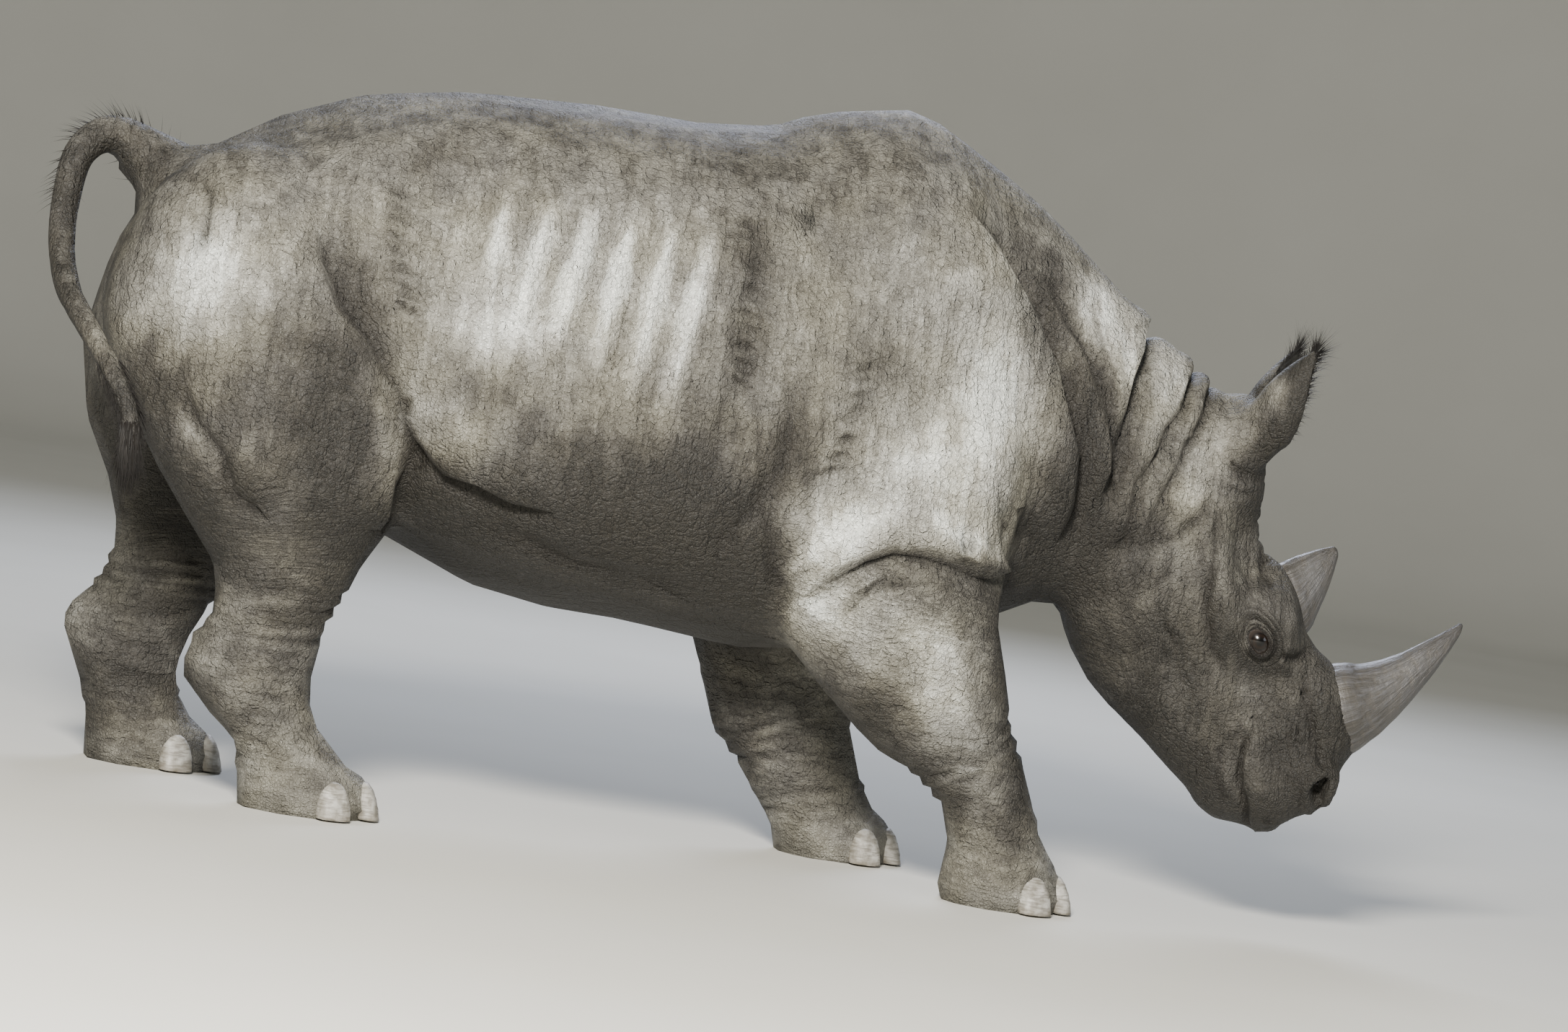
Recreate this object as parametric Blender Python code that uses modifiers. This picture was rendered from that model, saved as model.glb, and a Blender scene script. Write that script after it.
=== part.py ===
"""A black rhinoceros as a still, life-size model, walking with its head lowered and its tail curled up.

Metres, +Z up. The animal faces +X and its left side is +Y. The origin is on the floor, under the
middle of the model's box. The flesh is one body, made from lofted sections and rounded masses that
are melted together, and thin cuts then part it into head, neck, trunk, tail and legs.
"""

import math

import bmesh
import bpy
from mathutils import Matrix, Vector

# Driving dimensions
SHOULDER_HEIGHT = 1.50
HEAD_PITCH = math.radians(63.8)  # the face points this far below the horizon
HEAD_YAW = math.radians(-8.0)  # and a little to the animal's right
HEAD_ORIGIN = Vector((0.875, -0.04, 0.98))  # between the ears
FORE_FOOT_Y = 0.235  # half the distance between the two forefeet
HIND_FOOT_Y = 0.235
GAP = 0.0005  # between pieces that meet

# Fineness of the flesh
RING_POINTS = 28
SPAN_STEPS = 4
COARSE = {"points": 10, "steps": 1}  # for the shapes that only divide the flesh
MELT_VOXEL = 0.011
FLESH_TRIANGLES = 2900
DIVISION_MARGIN = 0.045  # how far a dividing shape stands off the limb that it parts

SIDES = {"right": -1, "left": 1}

HEAD = (
    Matrix.Translation(HEAD_ORIGIN)
    @ Matrix.Rotation(HEAD_YAW, 4, "Z")
    @ Matrix.Rotation(HEAD_PITCH, 4, "Y")
)


# ---------------------------------------------------------------- sections
# A section runs from one (x, z) point to another, and half_width to each side of y:
# (start x, start z, end x, end z, y, half_width)

TRUNK = [  # back line to belly line, from rump to chest
    (-1.255, 1.06, -1.255, 0.88, 0.0, 0.09),
    (-1.215, 1.15, -1.225, 0.78, 0.0, 0.20),
    (-1.10, 1.245, -1.12, 0.66, 0.0, 0.285),
    (-0.92, 1.34, -0.93, 0.575, 0.0, 0.335),
    (-0.70, 1.392, -0.70, 0.53, 0.0, 0.375),
    (-0.45, 1.408, -0.45, 0.465, 0.0, 0.415),
    (-0.20, 1.408, -0.20, 0.425, 0.0, 0.43),
    (0.00, 1.435, 0.00, 0.41, 0.0, 0.41),
    (0.17, SHOULDER_HEIGHT + 0.004, 0.18, 0.425, 0.0, 0.355),
    (0.30, 1.468, 0.34, 0.455, 0.0, 0.30),
    (0.42, 1.38, 0.46, 0.52, 0.0, 0.24),
]
NECK = [  # nape to throat
    (0.28, 1.46, 0.40, 0.50, 0.0, 0.275),
    (0.43, 1.39, 0.50, 0.53, -0.003, 0.255),
    (0.575, 1.285, 0.57, 0.575, -0.010, 0.225),
    (0.70, 1.175, 0.625, 0.60, -0.020, 0.195),
    (0.80, 1.10, 0.675, 0.61, -0.030, 0.172),
    (0.885, 1.045, 0.74, 0.60, -0.040, 0.155),
    (0.945, 1.00, 0.82, 0.62, -0.045, 0.135),
]
SKULL = [  # along the face in the head's own frame: brow line to jaw line
    (-0.02, 0.070, 0.19, -0.335, 0.0, 0.140),
    (0.06, 0.088, 0.25, -0.392, 0.0, 0.150),
    (0.14, 0.068, 0.33, -0.402, 0.0, 0.154),
    (0.22, 0.026, 0.41, -0.388, 0.0, 0.148),
    (0.30, 0.022, 0.48, -0.356, 0.0, 0.138),
    (0.38, 0.040, 0.545, -0.322, 0.0, 0.126),
    (0.46, 0.058, 0.605, -0.296, 0.0, 0.115),
    (0.54, 0.070, 0.655, -0.272, 0.0, 0.107),
    (0.62, 0.066, 0.700, -0.248, 0.0, 0.103),
    (0.69, 0.052, 0.740, -0.222, 0.0, 0.101),
    (0.745, 0.026, 0.772, -0.185, 0.0, 0.092),
    (0.785, -0.018, 0.792, -0.150, 0.0, 0.068),
]

# Legs, front edge to back edge, from inside the trunk down to just under the sole
LEGS = {
    "foreleg_right": [
        (0.38, 1.04, 0.02, 0.98, -0.225, 0.115),
        (0.45, 0.86, -0.02, 0.80, -0.245, 0.140),
        (0.475, 0.70, -0.025, 0.64, -0.258, 0.150),
        (0.475, 0.57, 0.03, 0.50, -0.262, 0.142),
        (0.505, 0.46, 0.13, 0.385, -0.258, 0.125),
        (0.535, 0.36, 0.25, 0.285, -0.250, 0.107),
        (0.572, 0.27, 0.365, 0.225, -0.242, 0.092),
        (0.605, 0.20, 0.425, 0.175, -0.237, 0.088),
        (0.632, 0.13, 0.445, 0.115, -FORE_FOOT_Y, 0.089),
        (0.663, 0.07, 0.440, 0.06, -FORE_FOOT_Y, 0.103),
        (0.675, 0.02, 0.437, 0.02, -FORE_FOOT_Y, 0.108),
        (0.660, -0.05, 0.450, -0.05, -FORE_FOOT_Y, 0.098),
    ],
    "foreleg_left": [
        (0.38, 1.04, 0.02, 0.98, 0.225, 0.115),
        (0.43, 0.86, -0.05, 0.80, 0.245, 0.140),
        (0.42, 0.70, -0.075, 0.64, 0.258, 0.150),
        (0.375, 0.57, -0.07, 0.50, 0.262, 0.142),
        (0.335, 0.46, -0.045, 0.385, 0.258, 0.125),
        (0.305, 0.36, -0.01, 0.295, 0.250, 0.107),
        (0.305, 0.27, 0.020, 0.225, 0.242, 0.094),
        (0.325, 0.20, 0.072, 0.175, 0.237, 0.090),
        (0.355, 0.13, 0.118, 0.115, FORE_FOOT_Y, 0.090),
        (0.395, 0.07, 0.158, 0.06, FORE_FOOT_Y, 0.103),
        (0.412, 0.02, 0.175, 0.02, FORE_FOOT_Y, 0.108),
        (0.400, -0.05, 0.188, -0.05, FORE_FOOT_Y, 0.098),
    ],
    "hindleg_right": [
        (-0.90, 1.15, -1.20, 1.10, -0.200, 0.110),
        (-0.82, 0.97, -1.29, 0.97, -0.225, 0.140),
        (-0.735, 0.80, -1.29, 0.83, -0.240, 0.150),
        (-0.695, 0.67, -1.215, 0.68, -0.250, 0.145),
        (-0.705, 0.56, -1.12, 0.55, -0.250, 0.127),
        (-0.755, 0.45, -1.035, 0.445, -0.245, 0.106),
        (-0.795, 0.34, -1.020, 0.345, -0.240, 0.088),
        (-0.812, 0.25, -1.055, 0.255, -0.237, 0.080),
        (-0.795, 0.18, -1.015, 0.185, -0.235, 0.080),
        (-0.745, 0.12, -0.945, 0.12, -HIND_FOOT_Y, 0.083),
        (-0.695, 0.065, -0.925, 0.06, -HIND_FOOT_Y, 0.097),
        (-0.675, 0.02, -0.925, 0.02, -HIND_FOOT_Y, 0.103),
        (-0.690, -0.05, -0.910, -0.05, -HIND_FOOT_Y, 0.093),
    ],
    "hindleg_left": [
        (-0.90, 1.15, -1.20, 1.10, 0.200, 0.110),
        (-0.83, 0.97, -1.30, 0.97, 0.225, 0.140),
        (-0.77, 0.80, -1.335, 0.81, 0.240, 0.150),
        (-0.78, 0.67, -1.305, 0.66, 0.250, 0.145),
        (-0.835, 0.56, -1.24, 0.54, 0.250, 0.127),
        (-0.915, 0.45, -1.215, 0.44, 0.245, 0.106),
        (-0.990, 0.34, -1.235, 0.34, 0.240, 0.088),
        (-1.035, 0.25, -1.285, 0.25, 0.237, 0.080),
        (-1.045, 0.18, -1.255, 0.18, 0.235, 0.080),
        (-1.025, 0.12, -1.228, 0.12, HIND_FOOT_Y, 0.083),
        (-0.985, 0.065, -1.218, 0.06, HIND_FOOT_Y, 0.097),
        (-0.965, 0.02, -1.218, 0.02, HIND_FOOT_Y, 0.103),
        (-0.980, -0.05, -1.203, -0.05, HIND_FOOT_Y, 0.093),
    ],
}

PARTINGS = {"foreleg": (5.0, 8.4), "hindleg": (4.6, 9.3)}  # knee and ankle, in sections from the top

HORNS = {  # from root to tip in the head's own frame
    "horn_front": [
        (0.700, 0.030, 0.525, 0.040, 0.0, 0.078),
        (0.706, 0.070, 0.529, 0.095, 0.0, 0.080),
        (0.690, 0.125, 0.545, 0.150, 0.0, 0.060),
        (0.662, 0.182, 0.548, 0.205, 0.0, 0.044),
        (0.626, 0.240, 0.541, 0.258, 0.0, 0.030),
        (0.585, 0.298, 0.534, 0.308, 0.0, 0.017),
        (0.540, 0.352, 0.524, 0.356, 0.0, 0.006),
    ],
    "horn_rear": [
        (0.450, 0.020, 0.312, 0.010, 0.0, 0.052),
        (0.452, 0.058, 0.306, 0.046, 0.0, 0.052),
        (0.418, 0.092, 0.302, 0.084, 0.0, 0.036),
        (0.372, 0.130, 0.302, 0.126, 0.0, 0.020),
        (0.322, 0.164, 0.306, 0.162, 0.0, 0.005),
    ],
}

EYE = {
    "place": (0.425, -0.048),  # along the face and up from it, in the head's frame
    "radius": 0.034,
    "proud": 0.010,  # how far the eyeball stands out of the orbit
}

EAR = {
    "length": 0.245,
    "half_width": 0.057,
    "thickness": 0.012,
    "root": Vector((0.040, 0.098, 0.070)),  # in the head's frame, for the left ear
    "rise": math.radians(-37),  # from the head's own up, towards the nape
    "splay": math.radians(24),
    "turn": math.radians(-40),  # of the cup, from straight ahead to outwards
    "roll": (math.radians(148), math.radians(76)),  # half the cup's arc at the root and at the tip
    "sunk": 0.14,  # share of the length that starts below the root point
    "rows": 7,
    "columns": 6,
}

TOES = {"inner": math.radians(-62), "middle": 0, "outer": math.radians(62)}  # turn from straight ahead
NAIL = {
    "half_width": {"inner": 0.03515, "middle": 0.04625, "outer": 0.03515},
    "height": 0.064,
    "depth": 0.024,
    "lean": math.radians(-14),
    "rise": 0.012,  # of its middle above the floor
    "floor": 0.004,  # its flat lower edge, a little off the floor
}

TAIL_LINE = [  # raised at the root, arched back, then swung down across the right haunch
    (-1.215, 0.0, 1.150),
    (-1.283, -0.004, 1.203),
    (-1.340, -0.020, 1.213),
    (-1.384, -0.048, 1.168),
    (-1.396, -0.085, 1.080),
    (-1.392, -0.130, 0.995),
    (-1.368, -0.200, 0.915),
    (-1.316, -0.280, 0.845),
    (-1.262, -0.350, 0.775),
    (-1.222, -0.390, 0.705),
    (-1.214, -0.398, 0.640),
]
TAIL_RADII = [0.060, 0.046, 0.036, 0.030, 0.0265, 0.024, 0.022, 0.0205, 0.019, 0.0175, 0.0155]
TAIL_BRUSH = [  # how far below the tail's tip, and the radius there
    (GAP / 2, 0.0165),
    (0.012, 0.023),
    (0.045, 0.027),
    (0.085, 0.020),
    (0.120, 0.006),
]
TAIL_POINTS = 8
TAIL_STEPS = 2
TAIL_LENGTHS = {  # which points of the line each length runs between
    "tail_arch": (1, 3),
    "tail_bend": (3, 5),
    "tail_fall": (5, 7),
    "tail_swing": (7, 9),
    "tail_end": (9, 10),
}


def between(rows, steps=SPAN_STEPS):
    """More rows on a smooth Catmull-Rom curve through the given ones."""
    padded = [rows[0], *rows, rows[-1]]
    made = []
    for a, b, c, d in zip(padded, padded[1:], padded[2:], padded[3:]):
        for step in range(steps):
            t = step / steps
            made.append(
                [
                    q + t * (r - p) / 2
                    + t * t * (2 * p - 5 * q + 4 * r - s) / 2
                    + t**3 * (3 * q - p - 3 * r + s) / 2
                    for p, q, r, s in zip(a, b, c, d)
                ]
            )
    return made + [list(rows[-1])]


def loft(
    bm, rows, place=None, fullness=2.2, lean=0.0, grow=0.0, steps=SPAN_STEPS, points=RING_POINTS
):
    """A closed body through sections. fullness 2 is an ellipse and more is squarer, lean narrows the
    start of each section and widens its end, and grow stands the body off on every side."""
    rings = []
    for x0, z0, x1, z1, y, half_width in between(rows, steps):
        middle = Vector(((x0 + x1) / 2, y, (z0 + z1) / 2))
        half = Vector(((x0 - x1) / 2, 0, (z0 - z1) / 2))
        half = half.normalized() * (half.length + grow)
        ring = []
        for i in range(points):
            turn = math.tau * i / points
            along = math.copysign(abs(math.cos(turn)) ** (2 / fullness), math.cos(turn))
            across = math.copysign(abs(math.sin(turn)) ** (2 / fullness), math.sin(turn))
            side = across * (1 - lean * along) * (half_width + grow)
            ring.append(bm.verts.new(middle + half * along + Vector((0, side, 0))))
        rings.append(ring)
    made = [v for ring in rings for v in ring]
    skin_rings(bm, rings)
    if place is not None:
        bmesh.ops.transform(bm, matrix=place, verts=made)


def skin_rings(bm, rings):
    """Closes a row of rings of points into a body of triangles."""
    faces = [bm.faces.new(rings[0]), bm.faces.new(rings[-1])]
    for near, far in zip(rings, rings[1:]):
        for i in range(len(near)):
            j = (i + 1) % len(near)
            faces.append(bm.faces.new((near[i], near[j], far[j])))
            faces.append(bm.faces.new((near[i], far[j], far[i])))
    bmesh.ops.recalc_face_normals(bm, faces=faces)


def mass(bm, centre, radii, turn=(0, 0, 0), place=None):
    """A rounded mass: a sphere stretched to radii, turned by degrees about X, Y and Z."""
    tilt = Matrix.Identity(4)
    for angle, axis in zip(turn, "XYZ"):
        tilt = Matrix.Rotation(math.radians(angle), 4, axis) @ tilt
    matrix = Matrix.Translation(centre) @ tilt @ Matrix.Diagonal((*radii, 1))
    if place is not None:
        matrix = place @ matrix
    bmesh.ops.create_uvsphere(bm, u_segments=24, v_segments=14, radius=1, matrix=matrix)


# ---------------------------------------------------------------- the flesh, whole


def add_trunk_masses(bm):
    mass(bm, (0.13, 0, 1.36), (0.23, 0.17, 0.125))  # hump over the shoulder blades
    mass(bm, (-0.30, 0, 0.74), (0.55, 0.425, 0.31))  # belly
    mass(bm, (0.38, 0, 0.66), (0.17, 0.19, 0.16), (0, 25, 0))  # brisket
    mass(bm, (-1.17, 0, 1.10), (0.10, 0.12, 0.12))  # base of the tail
    for side in SIDES.values():
        mass(bm, (0.19, side * 0.215, 1.10), (0.21, 0.125, 0.32), (side * 8, 12, 0))  # shoulder
        mass(bm, (0.22, side * 0.270, 0.78), (0.25, 0.130, 0.22), (0, 8, 0))  # upper arm
        mass(bm, (-1.02, side * 0.215, 0.96), (0.25, 0.155, 0.29), (side * 6, -14, 0))  # haunch
        mass(bm, (-0.80, side * 0.195, 1.20), (0.17, 0.100, 0.12), (side * 24, 0, 0))  # hip
        mass(bm, (-1.21, side * 0.140, 0.92), (0.085, 0.110, 0.20))  # seat


def add_head_masses(bm):
    mass(bm, (0.03, 0, 0.072), (0.075, 0.115, 0.042), place=HEAD)  # poll
    mass(bm, (0.605, 0, 0.048), (0.118, 0.098, 0.052), place=HEAD)  # front horn's boss
    mass(bm, (0.38, 0, 0.030), (0.095, 0.085, 0.038), place=HEAD)  # rear horn's boss
    mass(bm, (0.795, 0, -0.098), (0.046, 0.052, 0.058), (0, -18, 0), place=HEAD)  # upper lip
    mass(bm, (0.705, 0, -0.215), (0.062, 0.068, 0.040), (0, -28, 0), place=HEAD)  # chin
    for side in SIDES.values():
        mass(bm, (0.400, side * 0.098, -0.024), (0.098, 0.052, 0.060), (0, -8, 0), HEAD)  # orbit
        mass(bm, (0.25, side * 0.118, -0.085), (0.20, 0.042, 0.050), (0, 6, 0), HEAD)  # cheekbone
        mass(bm, (0.235, side * 0.092, -0.240), (0.175, 0.062, 0.135), (0, 38, 0), HEAD)  # jaw
        mass(bm, (0.735, side * 0.074, -0.020), (0.052, 0.038, 0.050), (0, -20, 0), HEAD)  # nostril
        mass(bm, (0.050, side * 0.086, 0.040), (0.060, 0.050, 0.058), place=HEAD)  # foot of the ear


def sole_centre(leg):
    """(x, y, front radius) of the sole of a leg."""
    front, _, back, _, y, _ = LEGS[leg][-2]
    return (front + back) / 2, y, (front - back) / 2


def toe_place(leg, toe, reach):
    """A point on the floor in front of the foot, and the way that this toe points."""
    x, y, radius = sole_centre(leg)
    outwards = math.copysign(1, y)
    turn = TOES[toe] * outwards
    half_width = LEGS[leg][-2][5]
    point = Vector(
        (x + math.cos(turn) * radius * reach, y + math.sin(turn) * half_width * reach, 0)
    )
    return point, turn


def add_feet(bm):
    for leg in LEGS:
        for toe in TOES:
            point, turn = toe_place(leg, toe, 0.70)
            wide = 0.052 if toe == "middle" else 0.040
            mass(bm, point + Vector((0, 0, 0.035)), (0.044, wide, 0.060), (0, 14, math.degrees(turn)))
    for leg in ("hindleg_right", "hindleg_left"):
        x0, z0, x1, z1, y, _ = LEGS[leg][7]
        mass(bm, (x1 + 0.035, y, z1 + 0.005), (0.042, 0.048, 0.070), (0, -12, 0))  # point of the hock


def add_tail_root(bm):
    for share in (0.0, 0.5, 1.0):
        point = Vector((-1.19, 0, 1.14)).lerp(Vector(TAIL_LINE[1]), share)
        radius = 0.078 - 0.026 * share
        mass(bm, point, (radius * 1.1, radius, radius))


def broadness(point, foot_share=1.0):
    """How strongly the masses melt together here: fully on the trunk, less on head, feet and tail."""
    head = min(1, max(0, (point.x - 0.60) / 0.20))
    foot = min(1, max(0, (0.42 - point.z) / 0.20)) * foot_share
    tail = min(1, max(0, (-1.17 - point.x) / 0.06)) * min(1, max(0, (point.z - 1.06) / 0.06))
    return max(0.20, 1 - max(head, foot, tail))


def flesh_mesh():
    """The whole body without horns, ears, eyes and nails, melted into one skin with flat soles."""
    bm = bmesh.new()
    loft(bm, TRUNK, fullness=2.25, lean=0.13)
    loft(bm, NECK, fullness=2.15, lean=0.10)
    loft(bm, SKULL, HEAD, fullness=2.45, lean=-0.06)
    for rows in LEGS.values():
        loft(bm, rows, fullness=2.1)
    add_trunk_masses(bm)
    add_head_masses(bm)
    add_feet(bm)
    add_tail_root(bm)
    body = new_object("flesh", bm, HELPERS)

    melt = body.modifiers.new("melt", "REMESH")
    melt.mode = "VOXEL"
    melt.voxel_size = MELT_VOXEL
    body.data = evaluated_mesh(body)
    body.modifiers.clear()
    broad = body.vertex_groups.new(name="broad")
    for v in body.data.vertices:
        broad.add([v.index], broadness(v.co), "REPLACE")
    for name, group, turns in (("soften", "", 6), ("soften_broad", "broad", 80)):
        soften = body.modifiers.new(name, "SMOOTH")
        soften.factor = 0.5
        soften.iterations = turns
        soften.vertex_group = group
    body.data = evaluated_mesh(body)
    body.modifiers.clear()
    body.vertex_groups.clear()
    plain = body.vertex_groups.new(name="plain")
    for v in body.data.vertices:
        plain.add([v.index], broadness(v.co, foot_share=0.35), "REPLACE")
    body.data.calc_loop_triangles()
    thin = body.modifiers.new("thin", "DECIMATE")
    thin.ratio = FLESH_TRIANGLES / len(body.data.loop_triangles)
    thin.vertex_group = "plain"
    thin.vertex_group_factor = 0.6
    body.data = evaluated_mesh(body)
    body.modifiers.clear()

    bm = bmesh.new()
    bm.from_mesh(body.data)
    cut_off(bm, Vector((0, 0, 0)), Vector((0, 0, -1)))
    bm.to_mesh(body.data)
    bm.free()
    body.vertex_groups.clear()
    return body


# ---------------------------------------------------------------- tools


def clear_scene():
    for obj in list(bpy.data.objects):
        bpy.data.objects.remove(obj)


def new_collection(name):
    collection = bpy.data.collections.new(name)
    bpy.context.scene.collection.children.link(collection)
    return collection


def new_object(name, bm, collection):
    mesh = bpy.data.meshes.new(name)
    bm.to_mesh(mesh)
    bm.free()
    obj = bpy.data.objects.new(name, mesh)
    collection.objects.link(obj)
    if collection == HELPERS:
        obj.hide_render = True
        obj.display_type = "WIRE"
    return obj


def evaluated_mesh(obj):
    """The mesh of an object with its modifiers."""
    graph = bpy.context.evaluated_depsgraph_get()
    graph.update()
    return bpy.data.meshes.new_from_object(obj.evaluated_get(graph))


def cut_off(bm, point, outwards):
    """Cuts a closed mesh with a plane, drops what lies outwards of it and closes the cut."""
    geometry = bm.verts[:] + bm.edges[:] + bm.faces[:]
    cut = bmesh.ops.bisect_plane(
        bm, geom=geometry, plane_co=point, plane_no=outwards, clear_outer=True, dist=1e-6
    )
    rim = [e for e in cut["geom_cut"] if isinstance(e, bmesh.types.BMEdge)]
    made = bmesh.ops.holes_fill(bm, edges=rim)
    bmesh.ops.triangulate(bm, faces=made["faces"])


def combine(obj, other, operation):
    """The mesh that a Boolean of two objects gives."""
    modifier = obj.modifiers.new(operation.lower(), "BOOLEAN")
    modifier.operation = operation
    modifier.solver = "EXACT"
    modifier.object = other
    mesh = evaluated_mesh(obj)
    obj.modifiers.remove(modifier)
    return mesh


def biggest_body(mesh):
    """Drops the crumbs that a cut can leave, and keeps the largest closed body."""
    bm = bmesh.new()
    bm.from_mesh(mesh)
    bmesh.ops.remove_doubles(bm, verts=bm.verts, dist=1e-5)
    left = set(bm.verts)
    groups = []
    while left:
        group = {left.pop()}
        front = list(group)
        while front:
            near = {e.other_vert(v) for v in front for e in v.link_edges} - group
            group |= near
            front = list(near)
        left -= group
        groups.append(group)
    keep = max(groups, key=len)
    bmesh.ops.delete(bm, geom=[v for v in bm.verts if v not in keep], context="VERTS")
    bm.to_mesh(mesh)
    bm.free()
    return mesh


def grown(obj, by=GAP):
    """A copy of an object whose surface stands off it by a little."""
    bm = bmesh.new()
    bm.from_mesh(obj.data)
    bmesh.ops.triangulate(bm, faces=bm.faces)
    bm.normal_update()
    moves = [v.normal * by for v in bm.verts]
    for v, move in zip(bm.verts, moves):
        v.co += move
    return new_object(obj.name + "_room", bm, HELPERS)


def carve(body, name, cutter):
    """Takes what lies inside a cutter out of the body as a new piece, with a thin gap round it."""
    piece = bpy.data.objects.new(name, biggest_body(combine(body, cutter, "INTERSECT")))
    ANIMAL.objects.link(piece)
    body.data = biggest_body(combine(body, grown(cutter), "DIFFERENCE"))
    return piece


def seat(body, piece, gap=GAP):
    """Sinks a piece in the body: the body loses the room of the piece and a thin gap round it."""
    body.data = biggest_body(combine(body, grown(piece, gap), "DIFFERENCE"))


def loft_object(name, rows, **shape):
    bm = bmesh.new()
    loft(bm, rows, **shape)
    return new_object(name, bm, HELPERS)


def box_object(name, size, place):
    bm = bmesh.new()
    bmesh.ops.create_cube(bm, size=1, matrix=place @ Matrix.Diagonal((*size, 1)))
    bmesh.ops.triangulate(bm, faces=bm.faces)
    return new_object(name, bm, HELPERS)


# ---------------------------------------------------------------- horns, ears, eyes, nails


def add_horns():
    for name, rows in HORNS.items():
        bm = bmesh.new()
        loft(bm, rows, HEAD, fullness=2.1, steps=1, points=12)
        yield new_object(name, bm, ANIMAL)


def add_eyes(head):
    for side, sign in SIDES.items():
        along, up = EYE["place"]
        start = HEAD @ Vector((along, sign * 0.5, up))
        inwards = (HEAD @ Vector((along, 0, up)) - start).normalized()
        _, skin, _, _ = head.ray_cast(start, inwards)
        place = Matrix.Translation(skin + inwards * (EYE["radius"] - EYE["proud"]))
        bm = bmesh.new()
        bmesh.ops.create_uvsphere(bm, u_segments=10, v_segments=6, radius=EYE["radius"], matrix=place)
        yield new_object("eye_" + side, bm, ANIMAL)


def ear_mesh():
    """A leaf rolled into a cup: a grid whose columns go round and whose rows go from root to tip."""
    bm = bmesh.new()
    bmesh.ops.create_grid(bm, x_segments=EAR["columns"], y_segments=EAR["rows"], size=1)
    root_roll, tip_roll = EAR["roll"]
    for v in bm.verts:
        up = (v.co.y + 1) / 2
        swell = math.sin(math.pi * min(1, 0.22 + 0.78 * up) ** 0.85) ** 0.75  # narrow, broad, narrow
        width = EAR["half_width"] * (0.28 + 0.72 * swell) * (1 - up**5 * 0.80)
        turn = v.co.x * (root_roll + (tip_roll - root_roll) * up**0.6)
        depth = width * (math.cos(turn) * 0.78 - 0.35)
        v.co = Vector((depth, width * math.sin(turn), EAR["length"] * (up - EAR["sunk"])))
    return bm


def ear_matrix(sign):
    """The ear stands up from the head, leans to the nape and out, and its cup opens forwards and out."""
    root = EAR["root"].copy()
    root.y *= sign
    return (
        HEAD
        @ Matrix.Translation(root)
        @ Matrix.Rotation(EAR["rise"], 4, "Y")
        @ Matrix.Rotation(-sign * EAR["splay"], 4, "X")
        @ Matrix.Rotation(math.pi + sign * EAR["turn"], 4, "Z")
    )


def add_ears(flesh):
    for side, sign in SIDES.items():
        bm = ear_mesh()
        bmesh.ops.transform(bm, matrix=ear_matrix(sign), verts=bm.verts)
        ear = new_object("ear_" + side, bm, ANIMAL)
        wall = ear.modifiers.new("wall", "SOLIDIFY")
        wall.thickness = EAR["thickness"]
        wall.offset = 0
        ear.data = evaluated_mesh(ear)
        ear.modifiers.clear()
        seat(ear, flesh, 2 * GAP)
        yield ear


def add_nails(leg):
    limb, side = leg.split("_")
    for toe in TOES:
        point, turn = toe_place(leg, toe, 0.985)
        bm = bmesh.new()
        place = (
            Matrix.Translation(point + Vector((0, 0, NAIL["rise"])))
            @ Matrix.Rotation(turn, 4, "Z")
            @ Matrix.Rotation(NAIL["lean"], 4, "Y")
            @ Matrix.Diagonal((NAIL["depth"], NAIL["half_width"][toe], NAIL["height"], 1))
        )
        bmesh.ops.create_uvsphere(bm, u_segments=8, v_segments=6, radius=1, matrix=place)
        cut_off(bm, Vector((0, 0, NAIL["floor"])), Vector((0, 0, -1)))
        yield new_object(f"nail_{limb[:4]}_{side}_{toe}", bm, ANIMAL)


# ---------------------------------------------------------------- the tail


def tail_stations():
    """(point, way, radius) all along the tail, the way being the direction in which it runs."""
    rows = between([(*point, radius) for point, radius in zip(TAIL_LINE, TAIL_RADII)], TAIL_STEPS)
    last = len(rows) - 1
    stations = []
    for i, row in enumerate(rows):
        way = Vector(rows[min(i + 1, last)][:3]) - Vector(rows[max(i - 1, 0)][:3])
        stations.append((Vector(row[:3]), way.normalized(), row[3]))
    return stations


def tube(name, stations, collection=None):
    """A round bar through (point, way, radius) stations."""
    bm = bmesh.new()
    rings = []
    across = Vector((0, 1, 0))
    for point, way, radius in stations:
        across = (across - way * across.dot(way)).normalized()
        other = way.cross(across)
        turns = [math.tau * i / TAIL_POINTS for i in range(TAIL_POINTS)]
        rings.append(
            [bm.verts.new(point + (across * math.cos(a) + other * math.sin(a)) * radius) for a in turns]
        )
    skin_rings(bm, rings)
    return new_object(name, bm, collection or ANIMAL)


def add_tail():
    stations = tail_stations()
    for name, (first, last) in TAIL_LENGTHS.items():
        span = stations[first * TAIL_STEPS : last * TAIL_STEPS + 1]
        (start, start_way, start_radius), (end, end_way, end_radius) = span[0], span[-1]
        span[0] = (start + start_way * GAP / 2, start_way, start_radius)
        span[-1] = (end - end_way * GAP / 2, end_way, end_radius)
        tube(name, span)
    tip, way, _ = stations[-1]
    tube("tail_tuft", [(tip + way * along, way, radius) for along, radius in TAIL_BRUSH])


# ---------------------------------------------------------------- materials


def material(name, colour, roughness):
    made = bpy.data.materials.new(name)
    made.use_nodes = True
    shader = made.node_tree.nodes["Principled BSDF"]
    shader.inputs["Base Color"].default_value = (*colour, 1)
    shader.inputs["Roughness"].default_value = roughness
    made.diffuse_color = (*colour, 1)
    return made


def material_of(name, finishes):
    kind = name.split("_")[0]
    if name == "tail_tuft":
        return finishes["bristle"]
    return finishes.get(kind, finishes["hide"])


# ---------------------------------------------------------------- putting it together


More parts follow.
